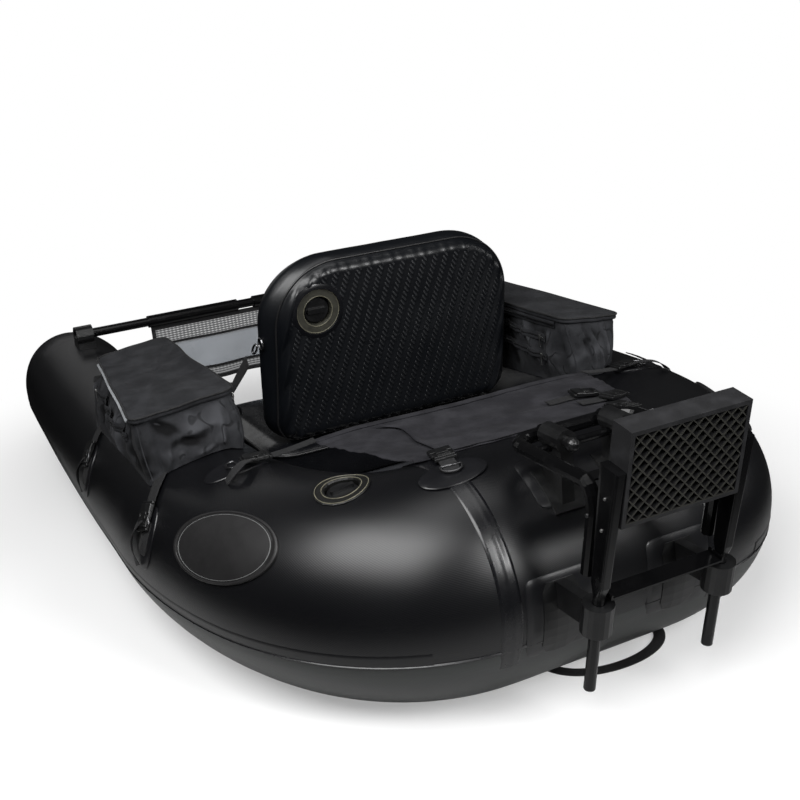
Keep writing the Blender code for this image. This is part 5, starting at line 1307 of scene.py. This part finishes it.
def makeRimZip(side, sign, middle):
    run = rimRun(side, sign, zips["tapeGrow"])
    rows = [[p + upZ * rise + (p - middle).normalized() * out for p in run] for rise, out in zips["tapeRows"]]
    addNet("zipTape_" + side, rows, "nylon", sharp=70)
    path = [p - upZ * zips["teethDrop"] for p in rimRun(side, sign, zips["teethGrow"])]
    addTube("zipTeeth_" + side, path, zips["teeth"], "piping", sideCount=8)


# Zips of the pockets on the long sides: a tape, its teeth and a pull that follow the slack wall
def makePocketZips(side, sign, rim, walls):
    for face, level, first, last in zips["pockets"]:
        run = [wall[level] for wall, (_, k, along) in zip(walls, rim) if k == face and first < along < last]
        if max(depthInHull(run[0]), depthInHull(run[-1])) > zips["clearDepth"]:
            continue
        tag = "_%s_%d_%d" % (side, face, level)
        way = alongX * (sign if face == 0 else -sign)
        run = [a * 0.25 + b * 0.5 + c * 0.25 for a, b, c in zip(run, run[1:], run[2:])]
        points = [point + way * zips["pocketLift"] for point in run]
        addRibbon("pocketTape" + tag, points, [way] * len(points), *zips["pocketTape"], "nylon")
        teeth = [point + way * zips["pocketTeethLift"] for point in points]
        addTube("pocketTeeth" + tag, teeth, zips["pocketTeeth"], "piping", sideCount=8)
        axes = (points[-4] + way * zips["pullLift"], upZ.cross(way), upZ, way)
        addBoxes("pocketPull" + tag, zips["pull"], axes, "steel", bevel=zips["pullBevel"])


trim = {"grow": 0.004, "paleFrom": 9, "paleDrop": 0.0052, "paleLift": 0.0016, "pale": (0.0085, 0.0013),
        "loopDrop": 0.021, "loopOut": 0.012, "loopReach": 0.022, "loopRise": 0.004, "loop": (0.012, 0.0014)}


def outerRun(side, sign):
    return [p for p, k, _ in bagOutline(side, sign, 1, trim["grow"]) if k == 0]


# Pale flap edge on the port lid, and seams down the bag's rear corners
def makeEdges(side, sign, rim, walls):
    t = trim
    if side == "port":
        shift = Vector((sign * t["paleLift"], 0, lid["rise"] - t["paleDrop"]))
        path = [p + shift for p in outerRun(side, sign)[t["paleFrom"]:]]
        looks = [Vector((sign, 0, 0.9)).normalized()] * len(path)
        addRibbon("paleEdge_" + side, path, looks, *t["pale"], "paleTrim", side + "_lid")
    keys = [(k, along) for _, k, along in rim]
    for corner in (0, 3):
        index = keys.index((corner, 0.0)) + bags["cornerPoints"] // 2
        addTube("bagSeam_%s_%d" % (side, corner), walls[index][1:-1], bags["seam"], "nylon", sideCount=8)


# Grab loop at the front outer corner
def makeGrabLoop(side, sign):
    t = trim
    tie = outerRun(side, sign)[-3] - upZ * t["loopDrop"]
    path = []
    for k in range(20):
        u = k / 19
        arch = math.sin(math.pi * u)
        forward = t["loopReach"] * math.sin(math.pi * u * 0.9)
        rise = t["loopRise"] * arch - t["loopReach"] * u
        path.append(tie + Vector((sign * t["loopOut"] * arch, forward, rise)))
    addRibbon("grabLoop_" + side, path, [Vector((sign, 0.4, 0)).normalized()] * 20, *t["loop"])


for side, sign in sides.items():
    rim = bagOutline(side, sign, 1, 0)
    middle = sum((p for p, _, _ in rim), Vector()) / len(rim)
    walls = makeTub(side, sign, rim, middle)
    makeLid(side, sign, middle)
    makeRimZip(side, sign, middle)
    makeEdges(side, sign, rim, walls)
    makePocketZips(side, sign, rim, walls)
    makeGrabLoop(side, sign)
print("bags ready")


# Cover over the stern and cargo space: cloth on the crown, stretched forward to its two corners
cover = {"cornerX": 0.283, "cornerY": 0.289, "cornerZ": 0.349, "rearHalf": 0.2, "rearY": 0.05,
         "frontY": 0.264, "frontZ": 0.362, "sideShare": 0.6, "sag": 0.008, "thickness": 0.0012,
         "columns": 120, "rows": 52,
         "fold": 0.0036, "sweep": 0.0018, "ridge": 0.0022, "fine": 0.0004, "pull": 0.0022,
         "strapX": 0.155, "strapGap": 0.0040, "gap": 0.0022, "flapX": -0.156, "flapColumns": 90,
         "flapThickness": 0.0011, "flapFrom": 0.004, "flapReach": 0.86, "flapSideShare": 0.985,
         "flapWave": 0.005, "flapCut": 0.030, "flapCutFrom": 0.82, "flapLift": 0.0024, "flapEdgeLift": 0.0040,
         "flapEdgeWidth": 0.008,
         "hem": (0.016, 0.0014), "hems": {"coverHemFront": 0.985, "coverHemRear": 0.03},
         "buckles": (("coverEndBuckleRear", 0.90, 0.20, 0.3), ("coverEndBuckleMid", 0.72, 0.42, -0.2)),
         "buckle": 0.030, "web": (0.022, 0.0016)}


def coverHalf(v):
    return cover["rearHalf"] + (cover["cornerX"] - cover["rearHalf"]) * v ** cover["sideShare"]


# A point of the cover: u runs across it from -1 to 1, and v from its rear edge to its front edge
def coverPoint(u, v, lift=0.0):
    c = cover
    x = coverHalf(v) * u
    ripple = 0.004 * math.sin(9.5 * u + 1.0) + 0.003 * math.sin(23 * u)
    rear = c["rearY"] + ripple * (1 - v) ** 2
    front = c["frontY"] + (c["cornerY"] - c["frontY"]) * u * u
    y = rear + (front - rear) * v
    crown = hull["sternRadius"] + math.sqrt(hull["sternRadius"] ** 2 - rear * rear)
    z = crown + (c["frontZ"] - crown) * v - c["sag"] * math.sin(math.pi * v) * (1 - u * u)
    z += (c["cornerZ"] - c["frontZ"]) * v * u ** 4
    window = math.sin(math.pi * min(1, max(0, v))) ** 0.7
    fold = c["fold"] * noise.noise(Vector((x * 9 + y * 4, y * 15, 2)))
    fold += c["sweep"] * math.exp(-((v - 0.52 - 0.16 * u) / 0.10) ** 2) * math.cos(7 * u + 0.6)
    ridge = 1 - abs(noise.noise(Vector((x * 7 - y * 9, y * 12 + x * 6, 5)))) * 3.0
    fold += c["ridge"] * max(0, ridge) ** 2
    fine = c["fine"] * noise.noise(Vector((x * 45, y * 60, 8)))
    pull = c["pull"] * math.exp(-((abs(u) - 0.93) / 0.10) ** 2) * math.cos(60 * v) * v
    point = Vector((x, y, z + (fold + fine + pull) * (0.25 + 0.75 * window)))
    skin, normal = snapToHull(point, c["strapGap"] if abs(x) > c["strapX"] and v < 0.5 else c["gap"])
    if (point - skin).dot(normal) < 0:
        point = skin
    return point + upZ * lift


# A second layer over the starboard part, its free edge wavy
def makeCoverFlap():
    c = cover
    grid = []
    for i in range(c["rows"] + 1):
        w = i / c["rows"]
        v = c["flapFrom"] + c["flapReach"] * w
        half = coverHalf(v)
        cut = max(0.0, (w - c["flapCutFrom"]) / (1 - c["flapCutFrom"])) ** 2
        edgeX = c["flapX"] - c["flapWave"] * math.sin(6 * w) - c["flapCut"] * cut
        row = []
        for k in range(c["flapColumns"] + 1):
            x = edgeX + (half * c["flapSideShare"] - edgeX) * k / c["flapColumns"]
            hump = math.exp(-((x - edgeX - c["flapWave"]) / c["flapEdgeWidth"]) ** 2)
            row.append(coverPoint(x / half, v, c["flapLift"] + c["flapEdgeLift"] * hump))
        grid.append(row)
    return clothNet("coverFlap", grid, c["flapThickness"], "coverNylon")


def makeCover():
    c = cover
    across = [2 * k / c["columns"] - 1 for k in range(c["columns"] + 1)]
    grid = [[coverPoint(u, i / c["rows"]) for u in across] for i in range(c["rows"] + 1)]
    piece = clothNet("sternCover", grid, c["thickness"], "coverNylon")
    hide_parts("stern_cover")
    layer = makeCoverFlap()
    # Hems: a doubled fold along the front and rear edges
    for name, v in c["hems"].items():
        points = [coverPoint(2 * k / 90 - 1, v, 0.0004) for k in range(91)]
        addRibbon(name, points, [upZ] * 91, *c["hem"], "coverNylon")
    # Buckled straps at the cover's starboard end
    for name, u, v, turn in c["buckles"]:
        way = Vector((math.cos(turn), math.sin(turn), -0.10)).normalized()
        addBuckle(name, coverPoint(u, v, 0.006), way, upZ, c["buckle"])
        path = [coverPoint(u - 0.30 * k / 12, v + 0.05 * k / 12, 0.0062) for k in range(13)]
        addRibbon(name + "Web", path, [upZ] * 13, *c["web"])


# Apron below the crossbar: mesh band, milky panel and dark hem, hung from a sleeve on the bar. Each sheet has
# its start and end down the drop, its count of rows, how far forward it lies, its thickness and its finish
apron = {"halfX": 0.25, "barY": 1.368, "topZ": 0.3247, "bottomZ": 0.165, "fold": 0.007, "folds": 3,
         "sheets": (("apronMesh", 0.0, 0.30, 12, 0.0, 0.0009, "mesh"),
                    ("apronPanel", 0.285, 0.82, 20, 0.0012, 0.0008, "panel"),
                    ("apronHem", 0.80, 1.0, 10, -0.0012, 0.0010, "mesh")),
         "ripple": 0.002, "seamY": -0.0016, "sideInset": 0.004, "side": (0.010, 0.0015),
         "seams": {"apronSeamTop": (0.295, 0.006), "apronSeamLow": (0.81, 0.007), "apronEdge": (0.985, 0.010),
                   "apronHeader": (0.02, 0.012)}, "seamThickness": 0.0013}


def apronPoint(x, v, wave, forward=0.0):
    drop = apron["topZ"] - apron["bottomZ"]
    return Vector((x, apron["barY"] + wave + forward, apron["topZ"] - drop * v))


def apronWave(u, v):
    return apron["fold"] * v * math.cos(math.pi * apron["folds"] * u)


def apronGrid(fromShare, toShare, rowCount, forward=0.0):
    grid = []
    for i in range(rowCount + 1):
        v = fromShare + (toShare - fromShare) * i / rowCount
        row = []
        for k in range(97):
            u = 2 * k / 96 - 1
            wave = apronWave(u, v) + apron["ripple"] * v * noise.noise(Vector((u * 5, v * 4, 1)))
            row.append(apronPoint(apron["halfX"] * u, v, wave, forward))
        grid.append(row)
    return grid


def sheetFromGrid(name, grid, thickness, finish):
    rows = [row + [p + Vector((0, thickness, 0)) for p in reversed(row)] for row in grid]
    return addNet(name, rows, finish, ring=True, caps=("start", "end"), sharp=70)


def makeApron():
    a = apron
    top, middle, low = (sheetFromGrid(name, apronGrid(start, end, rowCount, forward), thickness, finish)
                        for name, start, end, rowCount, forward, thickness, finish in a["sheets"])
    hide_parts("apron")
    sternward = Vector((0, -1, 0))
    for name, (share, width) in a["seams"].items():
        row = apronGrid(share, share, 1, a["seamY"])[0]
        addRibbon(name, row, [sternward] * 97, width, a["seamThickness"])
    for name, u in (("apronSidePort", -1), ("apronSideStarboard", 1)):
        x = u * (a["halfX"] - a["sideInset"])
        column = [apronPoint(x, k / 30, apronWave(u, k / 30)) for k in range(31)]
        addRibbon(name, column, [sternward] * 31, *a["side"])


makeCover()
makeApron()
print("cover and apron ready")


# Carry handle on the stern's underside: a web loop
handle = {"halfSpan": 0.112, "x": 0.058, "rootY": -0.033, "reachY": -0.118, "width": 0.020,
          "thickness": 0.003, "z": 0.0003, "count": 48}


def makeHandle():
    h = handle
    half, t = h["width"] / 2, h["thickness"]
    shape = ((-half, 0), (-half, t * 0.7), (-half * 0.6, t), (0, t * 1.15), (half * 0.6, t), (half, t * 0.7),
             (half, 0), (0, 0))
    reach = h["reachY"] - h["rootY"]
    rows = []
    for k in range(h["count"] + 1):
        turn = math.pi * k / h["count"]
        y = h["rootY"] + reach * math.sin(turn) ** 0.8
        point = Vector((h["x"] - h["halfSpan"] * math.cos(turn), y, h["z"]))
        wide = Vector((-reach * math.cos(turn), h["halfSpan"] * math.sin(turn), 0)).normalized()
        if k in (0, h["count"]):
            wide = alongX * math.copysign(1, wide.x)
        rows.append([point + wide * s + upZ * z for s, z in shape])
    piece = addNet("carryHandle", rows, "webbing", ring=True, caps=("start", "end"), sharp=60)
    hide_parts("carry_handle")


# Welded patches behind the motor mount: name, x, angle from the crown, half width, half length, height
mountPatches = (("bracketPatch_port", -0.1096, 93, 0.060, 0.070, 0.0018),
                ("bracketPatch_starboard", 0.1096, 93, 0.060, 0.070, 0.0018),
                ("bossPatch", 0, 30, 0.100, 0.050, 0.0016))


def makeMountPatches():
    r = hull["sternRadius"]
    for name, x, angle, halfX, halfY, height in mountPatches:
        a = math.radians(angle)
        normal = Vector((0, -math.sin(a), math.cos(a)))
        centre = Vector((x, 0, r)) + normal * r
        skinPlate(name, centre, normal, alongX, oval(halfX, halfY, 120, 9), flatProfile(height))


# Small fasteners: pan heads on the posts' cheeks and on the rails
panHead = ((1.0, -0.0006), (1.0, 0.0008), (0.86, 0.0017), (0.55, 0.0022), (0.30, 0.0023), (0.28, 0.0014),
           (0.05, 0.0014))
fasteners = {"postX": 0.1096, "postHalfWidth": 0.00795, "cheekDrops": (0.106, 0.156), "cheekRadius": 0.0024,
             "railX": 0.1085, "railHalfWidth": 0.0108, "railDepth": 0.0316, "railDrop": 0.150,
             "railRadius": 0.0032}


def addPanHead(name, centre, sign, radius, finish):
    normal = alongX * sign
    across = normal.orthogonal().normalized()
    up = normal.cross(across)
    rows = [circle(centre + normal * height, across, up, radius * share, 20) for share, height in panHead]
    addNet(name, rows, finish, ring=True, caps=("end",), sharp=35)


def makeFasteners():
    f = fasteners
    rake = board["rake"]
    down = Vector((0, math.sin(rake), -math.cos(rake)))
    bow = Vector((0, math.cos(rake), math.sin(rake)))
    top = Vector((0, board["topY"], board["topZ"])) + bow * (board["depth"] / 2)
    for side, sign in sides.items():
        for k, drop in enumerate(f["cheekDrops"]):
            place = top + alongX * (sign * (f["postX"] + f["postHalfWidth"])) + down * drop
            addPanHead("cheekBolt_%s_%d" % (side, k), place, sign, f["cheekRadius"], "steel")
        place = top + bow * f["railDepth"] + alongX * (sign * (f["railX"] + f["railHalfWidth"])) \
            + down * f["railDrop"]
        addPanHead("railBolt_%s_0" % side, place, sign, f["railRadius"], "darkSteel")


makeHandle()
makeMountPatches()
makeFasteners()
print("mount details ready")

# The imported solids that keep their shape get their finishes. A star stands for each side in turn
keep = {
    "plastic": ("backrest_valve_cap", "*_valve_cap", "bar_socket_*", "ring_bracket_*", "mount_boss_*",
                "mount_pin_*"),
    "tube": ("bar_end_*", "bar_sleeve_*", "bar_centre", "mount_post_*", "saddle_frame", "cross_rod",
             "tie_strip"),
    "steel": ("*_valve_stem", "zip_pull_*"),
    "darkSteel": ("backrest_ring_*",),
    "olive": ("backrest_valve_base",),
    "blackOlive": ("*_valve_base",),
    "board": ("motor_board",),
}
for finish, names in keep.items():
    for name in [name.replace("*", side) for name in names for side in sides]:
        mesh = nodes[name].data
        mesh.materials.clear()
        mesh.materials.append(finishes[finish][0])

# Holes in the hull skin for the valve cups, and the two lines of each valve's ring.
# Each spot has the number in its lines' names, its station and its angle from the crown
valves = {"spots": ((33, 0.330, 8), (82, -stationAt(0.8415), 4)), "hole": 0.0330,
          "lines": (0.0427, 0.0318), "lineLift": 0.0036, "lineRadius": 0.0007}
skin = bpy.data.objects["hullSkin"]
for tag, station, angle in valves["spots"]:
    middle, normal, down = skinSpot(station, angle)
    cutHole(skin, middle, normal, valves["hole"])
    along = normal.cross(alongX).normalized()
    for k, size in enumerate(valves["lines"]):
        ring = circle(middle, along, normal.cross(along), size, 72)
        path = [snapToHull(p, valves["lineLift"])[0] for p in ring]
        name = "valveLine_%d_%d" % (tag, k)
        addTube(name, path, valves["lineRadius"], "oliveLine", closed=True, sideCount=6)

# Camera at the photograph's place
view = {"place": (-0.9896, -1.4999 - originY, 1.0543), "yaw": -0.4567, "pitch": 0.3240, "roll": -0.0841,
        "lens": 53.99}


def makeCamera():
    yaw, pitch, roll = view["yaw"], view["pitch"], view["roll"]
    forward = Vector((-math.sin(yaw) * math.cos(pitch), math.cos(yaw) * math.cos(pitch), -math.sin(pitch)))
    right = Vector((math.cos(yaw), math.sin(yaw), 0))
    up = right.cross(forward)
    tiltedRight = right * math.cos(roll) + up * math.sin(roll)
    tiltedUp = up * math.cos(roll) - right * math.sin(roll)
    camera = linkNew("camera", bpy.data.cameras.new("camera"))
    matrix = Matrix((tiltedRight, tiltedUp, -forward)).transposed().to_4x4()
    matrix.translation = Vector(view["place"])
    camera.matrix_world = matrix
    camera.data.sensor_width = 36
    camera.data.lens = view["lens"]
    camera.data.clip_end = 60
    bpy.context.scene.camera = camera


# Studio: soft boxes, and a pale floor that runs into a white surround
lights = {
    "boxPort": {"place": (-1.55, -1.30, 2.35), "aim": (-0.35, -0.80, 0.27), "size": (2.4, 1.6), "power": 90},
    "boxStarboard": {"place": (0.62, -2.86, 1.70), "aim": (-0.15, -0.85, 0.25), "size": (1.0, 1.3),
                     "power": 55},
    "overhead": {"place": (0.1, -0.6, 2.9), "aim": (0.0, -0.3, 0.2), "size": (1.6, 1.2), "power": 10},
    "stripRight": {"place": (2.5, -1.5, 1.2), "aim": (0.3, -0.5, 0.25), "size": (0.5, 1.3), "power": 7},
    "bowFill": {"place": (-0.6, 2.7, 1.6), "aim": (0.0, 0.6, 0.2), "size": (2.0, 0.5), "power": 3},
}


def makeLights():
    for name, light in lights.items():
        data = bpy.data.lights.new(name, "AREA")
        data.shape = "RECTANGLE"
        data.size, data.size_y = light["size"]
        data.energy = light["power"]
        lamp = linkNew(name, data)
        place = Vector(light["place"])
        lamp.location = place
        lamp.rotation_euler = (Vector(light["aim"]) - place).to_track_quat("-Z", "Y").to_euler()


def makeSurround():
    world = bpy.data.worlds.new("surround")
    bpy.context.scene.world = world
    world.use_nodes = True
    tree = world.node_tree
    background = tree.nodes["Background"]
    path = tree.nodes.new("ShaderNodeLightPath")
    mix = tree.nodes.new("ShaderNodeMix")
    mix.data_type = "FLOAT"
    tree.links.new(path.outputs["Is Camera Ray"], mix.inputs["Factor"])
    mix.inputs["A"].default_value = 0.03
    mix.inputs["B"].default_value = 1.0
    background.inputs["Color"].default_value = (1, 1, 1, 1)
    tree.links.new(mix.outputs["Result"], background.inputs["Strength"])


# Floor: its own shading near the object, plain white further out
ground = {"halfSize": 14, "z": -0.0006, "paper": (0.93, 0.93, 0.93), "pale": (0.95, 0.95, 0.95),
          "stretch": 1.9, "castNear": (0.45, 0.45, 0.45), "castFar": (0.02, 0.02, 0.02),
          "castSteps": (0.66, 1.05),
          "glowSteps": (0.70, 1.2), "glowNear": 0.35}


def makeFloor():
    g = ground
    mesh = bpy.data.meshes.new("floor")
    corners = [(g["halfSize"] * x, g["halfSize"] * y, 0) for x, y in ((-1, -1), (1, -1), (1, 1), (-1, 1))]
    mesh.from_pydata(corners, [], [(0, 1, 2, 3)])
    floor = linkNew("floor", mesh)
    floor.location = (0, 0, g["z"])
    paint = Paint("floorPaper", g["paper"], 0.9, {"Specular IOR Level": 0.0})
    x, y, _ = paint.parts(paint.place())
    distance = (x * x + (y * y).op("DIVIDE", g["stretch"])).op("SQRT")
    seen = paint.node("ShaderNodeLightPath")["Is Camera Ray"]
    pale = paint.blend(paint.speckle(0.4), g["paper"], g["pale"])
    cast = paint.blend(distance.step(*g["castSteps"]), g["castNear"], g["castFar"])
    paint.set("Base Color", paint.blend(seen, cast, pale))
    glow = paint.blend(seen, (0, 0, 0), (1, 1, 1))
    emission = paint.node("ShaderNodeEmission", None, {"Color": glow, "Strength": 1.0})["Emission"]
    reach = distance.step(*g["glowSteps"]) * (1 - g["glowNear"]) + g["glowNear"]
    plain = Wire(paint, paint.shader.outputs["BSDF"])
    mixed = paint.node("ShaderNodeMixShader", None, {0: reach * seen, 1: plain, 2: emission})["Shader"]
    paint.join(mixed, paint.tree.nodes["Material Output"].inputs["Surface"])
    mesh.materials.append(paint.material)


makeCamera()
makeLights()
makeSurround()
makeFloor()
bpy.context.scene.view_settings.view_transform = "Standard"
print("studio ready")
